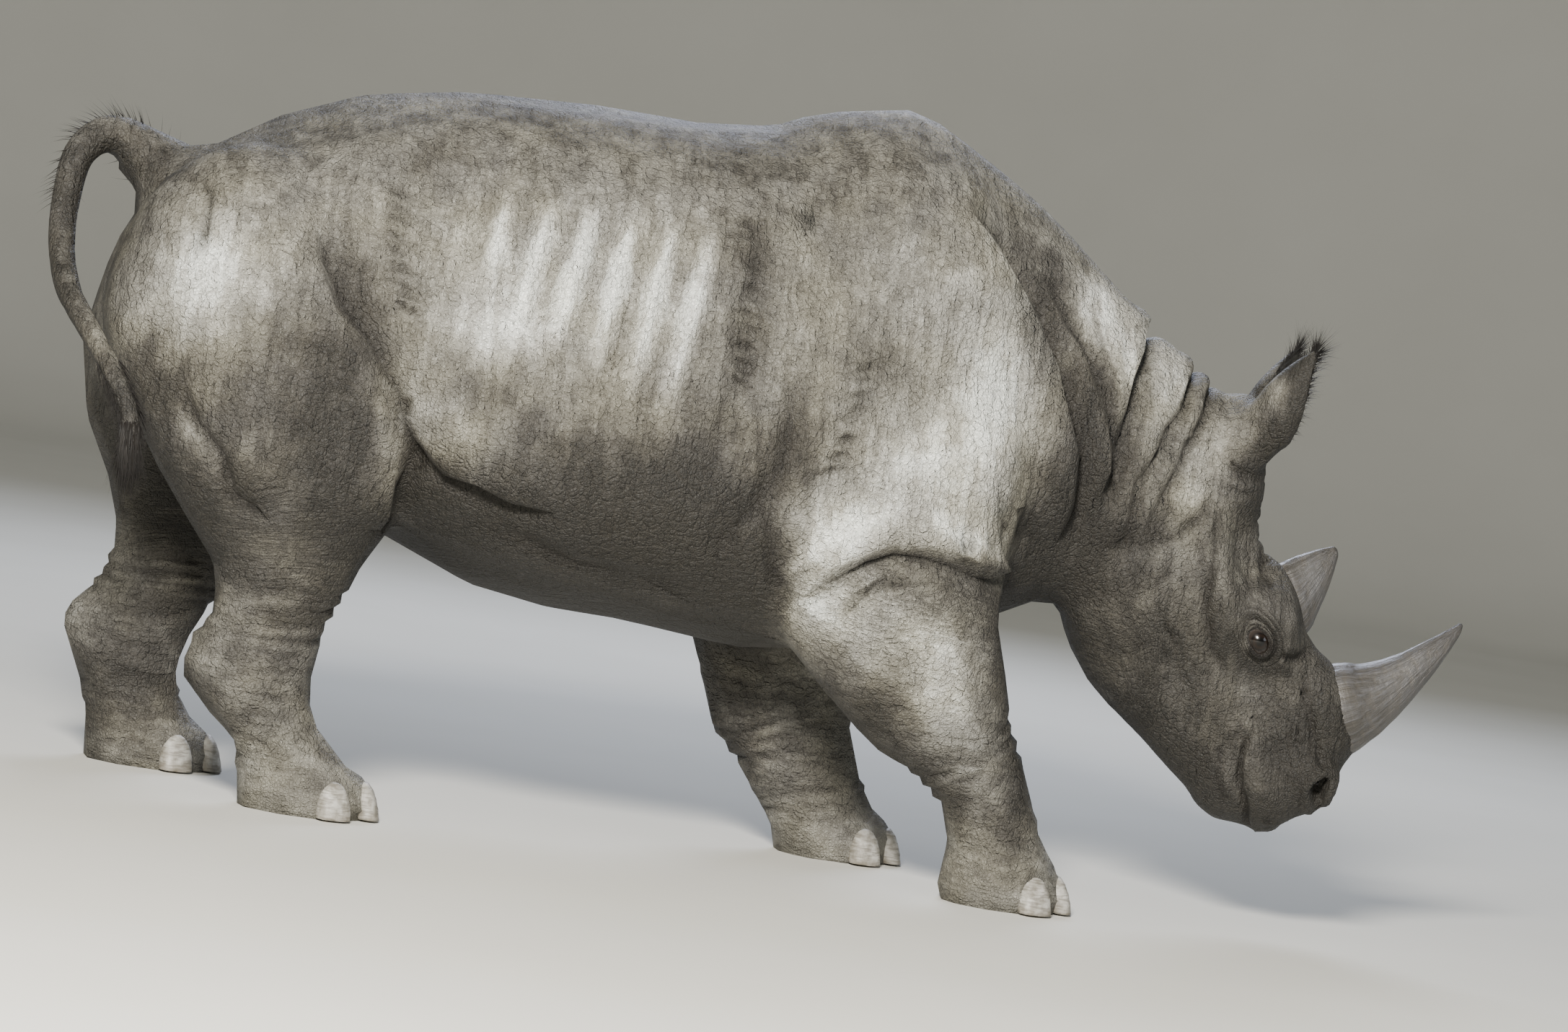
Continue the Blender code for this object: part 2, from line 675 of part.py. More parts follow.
def part_legs(body):
    """Each leg is parted from the trunk along the swell of its own muscles, then at knee and ankle."""
    for leg, rows in LEGS.items():
        cutter = loft_object(leg + "_division", rows, grow=DIVISION_MARGIN, **COARSE)
        split_leg(carve(body, leg, cutter), rows, leg)


def station_plane(rows, at):
    """The middle of the section at a fractional row number, and the way down the limb there."""
    low = int(at)
    share = at - low
    row = [a + (b - a) * share for a, b in zip(rows[low], rows[low + 1])]
    point = Vector(((row[0] + row[2]) / 2, row[4], (row[1] + row[3]) / 2))
    across = Vector((row[0] - row[2], 0, row[1] - row[3])).normalized()
    return point, Vector((across.z, 0, -across.x))


def foot_name(leg):
    return leg.replace("leg", "foot")


def split_leg(whole, rows, leg):
    knee, ankle = [station_plane(rows, at) for at in PARTINGS[leg.split("_")[0]]]
    spans = (
        (leg + "_upper", None, knee),
        (leg + "_lower", knee, ankle),
        (foot_name(leg), ankle, None),
    )
    for name, above, below in spans:
        bm = bmesh.new()
        bm.from_mesh(whole.data)
        if above:
            cut_off(bm, above[0] + above[1] * GAP / 2, -above[1])
        if below:
            cut_off(bm, below[0] - below[1] * GAP / 2, below[1])
        new_object(name, bm, ANIMAL)
    bpy.data.objects.remove(whole)


def part_head(body):
    cutter = loft_object("head_division", SKULL, place=HEAD, fullness=3.0, grow=0.10, **COARSE)
    head = carve(body, "head", cutter)
    jaw_place = (
        HEAD
        @ Matrix.Translation((0.42, 0, -0.165))
        @ Matrix.Rotation(math.radians(-3), 4, "Y")
        @ Matrix.Translation((0, 0, -0.25))
    )
    carve(head, "lower_jaw", box_object("jaw_division", (1.2, 0.8, 0.5), jaw_place))
    return head


def part_neck_and_tail_root(body):
    carve(body, "neck", loft_object("neck_division", NECK[1:], fullness=3.0, grow=0.12, **COARSE))
    stations = tail_stations()
    start, end, end_way = stations[0][0], stations[TAIL_STEPS][0], stations[TAIL_STEPS][1]
    way = (end - start).normalized()
    room = [(start, way, 0.10), (end + way * 0.1, way, 0.09)]
    stem = carve(body, "tail_root", tube("tail_division", room, HELPERS))
    bm = bmesh.new()
    bm.from_mesh(stem.data)
    cut_off(bm, end - end_way * GAP / 2, end_way)
    bm.to_mesh(stem.data)
    bm.free()


def main():
    body = flesh_mesh()
    flesh = bpy.data.objects.new("flesh_whole", body.data.copy())
    ears = list(add_ears(flesh))
    part_legs(body)
    head = part_head(body)
    part_neck_and_tail_root(body)
    trunk = bpy.data.objects.new("trunk", body.data)
    ANIMAL.objects.link(trunk)
    for piece in [*add_eyes(head), *add_horns(), *ears]:
        seat(head, piece)
    for leg in LEGS:
        foot = bpy.data.objects[foot_name(leg)]
        for nail in add_nails(leg):
            seat(foot, nail)
    add_tail()

    finishes = {
        "hide": material("hide", (0.19, 0.165, 0.14), 0.75),
        "horn": material("horn", (0.24, 0.21, 0.18), 0.50),
        "nail": material("nail", (0.42, 0.39, 0.34), 0.50),
        "eye": material("eye", (0.02, 0.013, 0.010), 0.10),
        "bristle": material("bristle", (0.03, 0.026, 0.022), 0.60),
    }
    for obj in ANIMAL.objects:
        obj.data.materials.clear()
        obj.data.materials.append(material_of(obj.name, finishes))


clear_scene()
ANIMAL = new_collection("black_rhinoceros")
HELPERS = new_collection("helpers")
main()
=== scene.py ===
import random
from functools import partial
from math import copysign, cos, exp, hypot, pi, radians, sin, sqrt

import bmesh
import bpy
import numpy as np
from mathutils import Matrix, Vector, geometry, noise
from mathutils.bvhtree import BVHTree


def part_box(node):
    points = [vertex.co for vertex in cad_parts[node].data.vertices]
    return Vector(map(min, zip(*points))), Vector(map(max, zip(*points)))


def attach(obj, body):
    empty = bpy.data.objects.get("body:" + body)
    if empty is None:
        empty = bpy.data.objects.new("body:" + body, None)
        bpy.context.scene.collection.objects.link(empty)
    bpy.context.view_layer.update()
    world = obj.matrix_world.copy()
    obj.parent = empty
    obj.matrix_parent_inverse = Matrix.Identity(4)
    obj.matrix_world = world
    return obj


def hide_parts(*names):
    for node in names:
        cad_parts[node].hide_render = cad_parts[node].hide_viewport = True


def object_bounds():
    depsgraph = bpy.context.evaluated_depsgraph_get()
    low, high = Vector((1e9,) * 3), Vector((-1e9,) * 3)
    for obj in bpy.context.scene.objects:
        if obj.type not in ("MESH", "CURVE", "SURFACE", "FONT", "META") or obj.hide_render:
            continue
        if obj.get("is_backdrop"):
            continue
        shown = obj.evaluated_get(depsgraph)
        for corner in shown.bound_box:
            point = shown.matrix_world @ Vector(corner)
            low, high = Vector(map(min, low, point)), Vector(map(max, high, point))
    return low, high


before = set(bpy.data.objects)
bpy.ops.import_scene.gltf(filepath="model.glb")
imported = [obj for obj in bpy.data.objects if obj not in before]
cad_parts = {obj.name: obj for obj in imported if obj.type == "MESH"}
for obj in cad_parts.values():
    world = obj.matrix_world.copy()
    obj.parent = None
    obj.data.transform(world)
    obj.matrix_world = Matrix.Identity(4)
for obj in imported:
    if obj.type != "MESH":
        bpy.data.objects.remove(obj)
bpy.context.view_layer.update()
print("frame loaded:", len(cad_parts), "nodes")


def spin(degrees, axis):
    return Matrix.Rotation(radians(degrees), 4, axis)


# the head's own frame: x runs down the face, y to the animal's left, z out of the brow
head = {"origin": (0.875, -0.04, 0.98), "pitch": 63.8, "yaw": -8}
headMatrix = Matrix.Translation(head["origin"]) @ spin(head["yaw"], "Z") @ spin(head["pitch"], "Y")
headTurn = np.array(headMatrix.to_3x3())
headOrigin = np.array(head["origin"])
sides = {"right": -1, "left": 1}
rng = random.Random(7)
weldReach = 1e-5


# nodes and colours

def toLinear(hexColour):
    channels = [int(hexColour[i:i + 2], 16) / 255 for i in (1, 3, 5)]
    return (*[c / 12.92 if c <= 0.04045 else ((c + 0.055) / 1.055) ** 2.4 for c in channels], 1)


def addNode(tree, kind, inputs=None, output=None, stops=None, **settings):
    # an input is a number, a colour in hex or another node's output. Stops are {place on a ramp: colour}
    node = tree.nodes.new("ShaderNode" + kind)
    for name, value in settings.items():
        setattr(node, name, value)
    for place, colour in (stops or {}).items():
        ramp = node.color_ramp.elements
        stop = ramp[0] if place == 0 else ramp[-1] if place == 1 else ramp.new(place)
        stop.color = toLinear(colour)
    for name, item in (inputs or {}).items():
        if isinstance(item, bpy.types.NodeSocket):
            tree.links.new(item, node.inputs[name])
        else:
            node.inputs[name].default_value = toLinear(item) if isinstance(item, str) else item
    if output:
        return node.outputs[output]
    return next(socket for socket in node.outputs if socket.enabled)


def newMaterial(name, shaderValues):
    # gives the material, a way to add nodes to it and a way to link them to its shader
    made = bpy.data.materials.new(name)
    made.use_nodes = True
    tree = made.node_tree
    inputs = tree.nodes["Principled BSDF"].inputs
    for socket, value in shaderValues.items():
        inputs[socket].default_value = value
    return made, partial(addNode, tree), lambda source, socket: tree.links.new(source, inputs[socket])


# meshes

def addObject(name, data):
    made = bpy.data.objects.new(name, data)
    bpy.context.scene.collection.objects.link(made)
    return made


def newPiece(name, mesh, material, nodes=()):
    piece = addObject(name, mesh)
    mesh.materials.clear()
    mesh.materials.append(material)
    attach(piece, "root")
    if nodes:
        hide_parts(*nodes)


def cutOff(bm, point, way):
    # takes off what lies past a plane
    return bmesh.ops.bisect_plane(
        bm, geom=bm.verts[:] + bm.edges[:] + bm.faces[:], plane_co=point, plane_no=way, clear_outer=True
    )


def closeUp(bm):
    bmesh.ops.holes_fill(bm, edges=[e for e in bm.edges if e.is_boundary])
    bmesh.ops.recalc_face_normals(bm, faces=bm.faces)


def weldedCopy(node):
    bm = bmesh.new()
    bm.from_mesh(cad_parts[node].data)
    bmesh.ops.remove_doubles(bm, verts=bm.verts, dist=weldReach)
    return bm


def meshFrom(bm, name):
    mesh = bpy.data.meshes.new(name)
    bm.to_mesh(mesh)
    bm.free()
    return mesh


def smoothShaded(mesh):
    for polygon in mesh.polygons:
        polygon.use_smooth = True
    return mesh


def pour(bm, whole):
    # adds one bmesh to another
    mesh = meshFrom(bm, "part")
    whole.from_mesh(mesh)
    bpy.data.meshes.remove(mesh)


def applied(mesh, *modifiers, groups=None):
    # a mesh with modifiers, each one a (kind, settings) pair, and weights as {group: numbers}
    carrier = addObject("carrier", mesh)
    for name, weights in (groups or {}).items():
        group = carrier.vertex_groups.new(name=name)
        for index, weight in enumerate(weights):
            group.add([index], float(weight), "REPLACE")
    for kind, settings in modifiers:
        modifier = carrier.modifiers.new(kind.lower(), kind)
        for name, value in settings.items():
            setattr(modifier, name, value)
    graph = bpy.context.evaluated_depsgraph_get()
    graph.update()
    made = bpy.data.meshes.new_from_object(carrier.evaluated_get(graph))
    bpy.data.objects.remove(carrier)
    return made


def vectorsOf(items, name):
    flat = np.empty(len(items) * 3, np.float32)
    items.foreach_get(name, flat)
    return flat.reshape(-1, 3).astype(np.float64)


def getPoints(mesh):
    return vectorsOf(mesh.vertices, "co")


def setPoints(mesh, points):
    mesh.vertices.foreach_set("co", points.astype(np.float32).ravel())
    mesh.update()


def getNormals(mesh):
    return vectorsOf(mesh.vertex_normals, "vector")


def setAttribute(mesh, name, values):
    layer = mesh.attributes.get(name) or mesh.attributes.new(name, "FLOAT", "POINT")
    layer.data.foreach_set("value", values.astype(np.float32))


def lengths(vectors):
    return np.linalg.norm(vectors, axis=1)


def smoothstep(low, high, x):
    t = np.clip((x - low) / (high - low), 0, 1)
    return t * t * (3 - 2 * t)


def bell(x, power=2):
    # 1 in the middle, fading out on both sides
    return np.exp(-(x ** power))


def blob(points, centre, radii):
    # the same over an ellipsoid
    return np.exp(-(((points - centre) / radii) ** 2).sum(axis=1))


def inHead(points):
    # world points to the head's own frame
    return (points - headOrigin) @ headTurn


def noiseAt(points, size, seed=0.0):
    # smooth noise of about -1 to 1, with features of about this size in metres
    offset = Vector((seed, seed * 1.7, seed * 0.6))
    return np.array([noise.noise(Vector(p) / size + offset) for p in points])


# the skin: all flesh nodes melted into one, then sculpted

skin = {
    "voxel": 0.005,
    "quickVoxel": 0.009,
    "grow": 0.0008,  # closes the cuts between the nodes
    "softenBody": 170,
    "softenHead": 42,
    "triangles": 196000,
    "headStart": 0.82,
}
earShape = {"root": (0.04, 0.098, 0.07), "rise": -37, "splay": 24, "length": 0.245, "halfWidth": 0.057}
bareKinds = ("horn", "eye", "nail")  # these stay pieces of their own
fleshNames = [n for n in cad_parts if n.split("_")[0] not in bareKinds and n != "tail_tuft"]


def earPlace(sign):
    # the frame of an ear: z runs from its root to its tip
    x, y, z = earShape["root"]
    return (
        headMatrix @ Matrix.Translation((x, y * sign, z))
        @ spin(earShape["rise"], "Y") @ spin(-sign * earShape["splay"], "X")
    )


def broadness(points):
    # 1 on the trunk and upper legs, 0 on head, ears, tail and feet
    x, z = points[:, 0], points[:, 2]
    headPart = smoothstep(0.62, 0.8, x)
    footPart = smoothstep(0.4, 0.22, z)
    tailPart = smoothstep(-1.19, -1.26, x) * smoothstep(1.02, 1.12, z) + smoothstep(-1.29, -1.33, x)
    return 1 - np.clip(np.maximum.reduce([headPart, footPart, tailPart]), 0, 1)


def tailness(points):
    # 1 on the free tail and the ears, which are too thin to be smoothed much
    x, z = points[:, 0], points[:, 2]
    y = points[:, 1]
    h = inHead(points)
    ears = smoothstep(0.095, 0.125, h[:, 2]) * (h[:, 0] < 0.2) * (x > 0.8)
    tail = smoothstep(-1.27, -1.3, x) * (z > 0.95)
    low = (x < -1.17) * (y < -0.19) * (np.abs(y) > 0.36 - 0.9 * np.clip(-1.22 - x, 0, 1)) * (z > 0.55)
    return np.clip(ears + tail + low, 0, 1)


plugLevels = {"horn_front": 0.086, "horn_rear": 0.05}  # how far the horns' plugs stand out of the brow


def meltFlesh():
    joined = bmesh.new()
    for name in fleshNames:
        bm = weldedCopy(name)
        bm.normal_update()
        moves = [v.normal * skin["grow"] for v in bm.verts]
        for v, move in zip(bm.verts, moves):
            v.co += move
        pour(bm, joined)
    # plugs fill the sockets of horns, eyes and nails, so that the skin runs on under them
    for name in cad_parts:
        kind = name.split("_")[0]
        if kind not in bareKinds:
            continue
        bm = weldedCopy(name)
        if kind == "horn":
            level = plugLevels[name]
            cut = cutOff(bm, headMatrix @ Vector((0.5, 0, level)), headMatrix.to_3x3() @ Vector((0, 0, 1)))
            bmesh.ops.holes_fill(bm, edges=[e for e in cut["geom_cut"] if isinstance(e, bmesh.types.BMEdge)])
        else:
            low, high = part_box(name)
            middle = (Vector(low) + Vector(high)) / 2
            size = 0.97 if kind == "eye" else 0.86
            bmesh.ops.scale(bm, vec=(size,) * 3, verts=bm.verts, space=Matrix.Translation(-middle))
        pour(bm, joined)
    return applied(meshFrom(joined, "skinRough"), ("REMESH", {"mode": "VOXEL", "voxel_size": voxel}))


def softened(mesh):
    points = getPoints(mesh)
    broad = broadness(points)
    thin = tailness(points)
    scale = (skin["voxel"] / voxel) ** 2
    middle = np.clip(1 - thin, 0.12, 1)
    turns = (int(skin["softenBody"] * scale), int(skin["softenHead"] * scale) + 2)
    root = bell(lengths(points - (-1.275, 0, 1.15)) / 0.075, 4)
    for seat in ((-1.37, 0.25, 0.82), (-1.24, -0.25, 0.82)):
        root = np.maximum(root, bell(lengths((points - seat) / (0.11, 0.16, 0.15)), 4))
    root *= 1 - thin
    return applied(
        mesh,
        ("SMOOTH", {"factor": 0.5, "iterations": turns[0], "vertex_group": "broad"}),
        ("SMOOTH", {"factor": 0.5, "iterations": turns[1], "vertex_group": "all"}),
        ("SMOOTH", {"factor": 0.5, "iterations": turns[0], "vertex_group": "root"}),
        groups={"broad": broad, "all": middle, "root": root},
    )


voxel = skin["voxel"]
melted = meltFlesh()
print("flesh melted:", len(melted.polygons), "faces")
skinMesh = softened(melted)


# eyes: the skin is drawn round each eyeball as two lids

eye = {"radius": 0.034, "halfLong": 0.0265, "halfHigh": 0.016, "lid": 0.0055, "tilt": 12,
       "rim": 0.0024, "sink": 0.0045, "cornea": 0.0135, "thread": 0.0015, "fineReach": (0.09, 0.06)}
# furrows round each eye: distance in openings, depth, share above and below the eye, shift towards the ear
eyeFurrows = [
    (1.42, 0.003, 0.9, 0.8, 0.0),
    (1.98, 0.0072, 1.0, 0.15, 0.3),
    (1.9, 0.005, 0.1, 1.0, -0.2),
    (2.5, 0.005, 0.9, 0.15, 0.8),
    (2.45, 0.0042, 0.05, 0.9, 0.3),
    (3.05, 0.003, 0.6, 0.5, 1.0),
]
eyes = {}
for side, sign in sides.items():
    low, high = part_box("eye_" + side)
    centre = (np.array(low) + np.array(high)) / 2
    eyes[side] = {"centre": centre, "out": headTurn @ np.array((0.1, sign * 0.99, 0.08))}


def refineHead(mesh):
    # the head gets four faces for each one, and the lids more again, to take folds and wrinkles
    bm = bmesh.new()
    bm.from_mesh(mesh)
    middles = [Vector(e["centre"]) for e in eyes.values()]
    for reach in (None, *eye["fineReach"]):
        if reach is None:
            near = {v for v in bm.verts if v.co.x > skin["headStart"]}
        else:
            near = {v for v in bm.verts if any((v.co - middle).length < reach for middle in middles)}
        chosen = [e for e in bm.edges if e.verts[0] in near and e.verts[1] in near]
        bmesh.ops.subdivide_edges(bm, edges=chosen, cuts=1, use_grid_fill=True, smooth=0.3)
        bmesh.ops.triangulate(bm, faces=[f for f in bm.faces if len(f.verts) > 4])
    bm.to_mesh(mesh)
    bm.free()


refineHead(skinMesh)
print("skin softened:", len(skinMesh.vertices), "points")


# sculpting: each tool gives how far the points move along their normals, in metres

def smoothPath(path, steps=5):
    path = [np.array(p, float) for p in path]
    padded = [path[0], *path, path[-1]]
    made = []
    for a, b, c, d in zip(padded, padded[1:], padded[2:], padded[3:]):
        for i in range(steps):
            t = i / steps
            made.append(
                b + t * (c - a) / 2 + t * t * (2 * a - 5 * b + 4 * c - d) / 2
                + t**3 * (3 * b - a - 3 * c + d) / 2
            )
    return np.array(made + [path[-1]])


def alongPath(flat, path):
    # signed distance from a smooth path, positive to its left, and the share of the way along it
    line = smoothPath(path)
    best = np.full(len(flat), 1e9)
    signed = np.zeros(len(flat))
    share = np.zeros(len(flat))
    count = len(line) - 1
    for i in range(count):
        a, way = line[i], line[i + 1] - line[i]
        length = hypot(*way) + 1e-9
        way = way / length
        away = flat - a
        t = np.clip(away @ way, 0, length)
        offset = away - t[:, None] * way
        distance = np.hypot(offset[:, 0], offset[:, 1])
        closer = distance < best
        best[closer] = distance[closer]
        cross = way[0] * away[:, 1] - way[1] * away[:, 0]
        signed[closer] = (np.sign(cross) * distance)[closer]
        share[closer] = ((i + t / length) / count)[closer]
    return signed, share


def foldProfile(signed, share, fold):
    # a crease, with a fuller lip on the side that laps over it, and the painted shade and painted highlight
    # that go with it
    width, depth = fold["width"], fold["depth"]
    ends = np.minimum(share / fold.get("startFade", 0.2), (1 - share) / fold.get("endFade", 0.2))
    taper = smoothstep(0, 1, ends)
    cut = bell(signed / width)
    lap = abs(fold.get("lap", 0))
    over = np.where(signed * copysign(1, fold.get("lap", 1)) > 0, 1, 0)
    spread = fold.get("spread", 0.06)
    lip = over * np.exp(-np.abs(signed) / spread) * (1 - cut)
    both = bell((np.abs(signed) - 2.2 * width) / (1.6 * width)) * fold.get("welt", 0)
    # painted highlight on the lapping side, and painted shadow on the other one
    foldLightAndShade = min(lap / 0.03, 1) * np.where(over, 1, -0.75)
    foldLightAndShade = foldLightAndShade * np.exp(-np.abs(signed) / (0.55 * spread)) * (1 - cut)
    return (-depth * cut + lap * lip + both) * taper, cut * taper, foldLightAndShade * taper


class Clay:
    # the skin's points while they are worked on
    def __init__(self, mesh):
        self.mesh = mesh
        self.points = getPoints(mesh)
        # painted shade in creases, pits and furrows
        self.creaseShade = np.zeros(len(self.points))
        self.foldLightAndShade = np.zeros(len(self.points))
        self.hatched = np.zeros(len(self.points))
        self.refresh()

    def refresh(self):
        setPoints(self.mesh, self.points)
        self.normals = getNormals(self.mesh)
        self.inHead = inHead(self.points)
        self.headNormals = self.normals @ headTurn

    # paints shade where the skin folds or sinks
    def darken(self, where, amount):
        self.creaseShade[where] = np.maximum(self.creaseShade[where], amount)

    def push(self, amount, where=None):
        if where is None:
            self.points += self.normals * amount[:, None]
        else:
            self.points[where] += self.normals[where] * amount[:, None]


clay = Clay(skinMesh)


def swell(centre, radii, amount, mirrored=True, local=False, slant=0.0):
    # a soft rise or hollow over an ellipsoid, on one side or on both
    source = clay.inHead if local else clay.points
    for sign in (1, -1) if mirrored else (1,):
        away = source - np.array(centre) * (1, sign, 1)
        if slant:
            c, s = cos(radians(slant)), sin(radians(slant))
            away = np.stack(
                [away[:, 0] * c - away[:, 2] * s, away[:, 1], away[:, 0] * s + away[:, 2] * c], axis=1
            )
        clay.push(blob(away, 0, radii) * amount)


tail = {
    "line": [(-1.215, 0.0, 1.15), (-1.283, -0.004, 1.203), (-1.34, -0.02, 1.213), (-1.384, -0.048, 1.168),
             (-1.396, -0.085, 1.08), (-1.392, -0.13, 0.995), (-1.368, -0.2, 0.915), (-1.316, -0.28, 0.845),
             (-1.262, -0.35, 0.775), (-1.222, -0.39, 0.705), (-1.214, -0.398, 0.64)],
    "radii": [0.06, 0.046, 0.036, 0.03, 0.0265, 0.024, 0.022, 0.0205, 0.019, 0.0175, 0.0155],
    "start": -1.18,  # where the free tail leaves the rump
    "rootBristles": 110, "edgeBristles": 280, "locks": 80, "ends": 420, "radius": 0.0008,
    "rootLength": (0.026, 0.048), "edgeLength": (0.045, 0.085), "lockLength": (0.08, 0.115),
    "endLength": (0.07, 0.125), "lockRadius": 0.0036,
}
tailLine = smoothPath([(*p, r) for p, r in zip(tail["line"], tail["radii"])], 8)


def roundTail():
    # the free tail is a smooth round taper, from just past its root to its end
    where = np.nonzero(clay.points[:, 0] < tail["start"])[0]
    points = clay.points[where]
    best = np.full(len(points), 1e9)
    middle, width, share = np.zeros_like(points), np.zeros(len(points)), np.zeros(len(points))
    for i, (start, end) in enumerate(zip(tailLine, tailLine[1:])):
        way = end - start
        t = np.clip((points - start[:3]) @ way[:3] / (way[:3] @ way[:3]), 0, 1)
        nearest = start + t[:, None] * way
        distance = lengths(points - nearest[:, :3])
        closer = distance < best
        best[closer] = distance[closer]
        middle[closer], width[closer] = nearest[closer, :3], nearest[closer, 3]
        share[closer] = ((i + t) / (len(tailLine) - 1))[closer]
    outwards = (points - middle) / np.maximum(best, 1e-6)[:, None]
    facing = (outwards * clay.normals[where]).sum(axis=1)
    amount = smoothstep(0.1, 0.22, share) * (share < 0.995) * (facing > 0.2)
    amount = amount * smoothstep(1.6, 1.3, best / width)
    clay.points[where] += outwards * ((width - best) * amount)[:, None]
    clay.tail = np.zeros(len(clay.points))
    clay.tail[where] = amount
    clay.refresh()


roundTail()

muscles = [  # (centre, radii, amount, slant)
    ((0.1, 0.33, 0.84), (0.14, 0.2, 0.15), 0.024, 20),  # triceps
    ((0.4, 0.27, 0.88), (0.09, 0.2, 0.12), 0.02, 0),  # point of the shoulder
    ((0.31, 0.26, 1.1), (0.07, 0.2, 0.12), 0.014, -20),
    ((0.19, 0.28, 1.22), (0.045, 0.2, 0.2), 0.013, -12),  # spine of the shoulder blade
    ((0.02, 0.33, 1.2), (0.07, 0.2, 0.18), -0.018, 0),  # hollow behind the blade
    ((0.47, 0.22, 1.16), (0.055, 0.2, 0.16), -0.016, -25),  # hollow before the shoulder
    ((-1.05, 0.33, 1.02), (0.14, 0.2, 0.15), 0.022, 0),  # haunch
    ((-0.83, 0.31, 1.17), (0.07, 0.2, 0.055), 0.02, 25),  # point of the hip
    ((-0.66, 0.34, 1.2), (0.09, 0.2, 0.08), -0.024, 0),  # hollow of the flank
    ((-0.93, 0.32, 1.27), (0.1, 0.2, 0.05), -0.012, 0),
    ((-0.9, 0.3, 0.8), (0.1, 0.2, 0.13), 0.014, 0),  # front of the thigh
    ((-0.45, 0.4, 0.74), (0.3, 0.25, 0.16), 0.022, 8),  # fall of the belly
    ((-1.12, 0.28, 0.74), (0.06, 0.2, 0.14), -0.018, -25),  # groove behind the thigh
    ((0.33, 0.26, 0.56), (0.08, 0.15, 0.08), 0.012, 0),  # forearm
    ((0.44, 0.2, 0.42), (0.04, 0.15, 0.08), 0.008, 0),
]
for centre, radii, amount, slant in muscles:
    swell(centre, radii, amount, slant=slant)
spineShare = smoothstep(-1.2, -1.0, clay.points[:, 0]) * smoothstep(0.05, -0.15, clay.points[:, 0])
spineShare *= bell(clay.points[:, 1] / 0.035) * smoothstep(0.5, 0.9, clay.normals[:, 2])
clay.push(spineShare * 0.007)

skull = [  # in the head's frame: (centre, radii, amount)
    ((0.36, 0.105, 0.038), (0.075, 0.045, 0.028), 0.014),  # brow over the eye
    ((0.2, 0.105, 0.05), (0.1, 0.045, 0.026), 0.012),  # crest from the ear to the brow
    ((0.25, 0.115, -0.012), (0.08, 0.05, 0.036), -0.018),  # temple
    ((0.295, 0.14, -0.082), (0.12, 0.05, 0.024), 0.012),  # cheekbone behind and under the eye
    ((0.52, 0.11, -0.08), (0.075, 0.06, 0.05), -0.018),  # hollow before the eye
    ((0.22, 0.13, -0.225), (0.115, 0.08, 0.095), 0.016),  # jaw muscle
    ((0.43, 0.11, -0.225), (0.08, 0.06, 0.05), -0.014),  # cheek between jaw and lips
    ((0.715, 0.095, -0.022), (0.042, 0.05, 0.042), 0.013),  # nostril's swell
    ((0.65, 0.095, -0.082), (0.055, 0.05, 0.022), -0.007),
    ((0.725, 0.075, -0.118), (0.06, 0.06, 0.024), 0.011),  # upper lip
    ((0.665, 0.07, -0.195), (0.055, 0.06, 0.026), 0.008),  # lower lip
    ((0.115, 0.08, 0.1), (0.05, 0.06, 0.03), -0.008),
    ((0.61, 0.085, 0.03), (0.085, 0.04, 0.03), 0.008),  # boss that carries the front horn
]
for centre, radii, amount in skull:
    swell(centre, radii, amount, local=True)
swell((0.808, 0.0, -0.128), (0.03, 0.034, 0.032), 0.014, mirrored=False, local=True)  # lip's tip
swell((0.6, 0.0, 0.08), (0.12, 0.05, 0.03), 0.004, mirrored=False, local=True)
swell((-1.27, 0.0, 0.9), (0.1, 0.03, 0.17), -0.03, mirrored=False)  # cleft under the tail
swell((-1.24, 0.13, 0.9), (0.1, 0.08, 0.15), 0.016)  # seat
swell((-1.1, 0.0, 0.66), (0.2, 0.05, 0.1), -0.018, mirrored=False)  # between the thighs
clay.refresh()
print("muscles and skull raised")

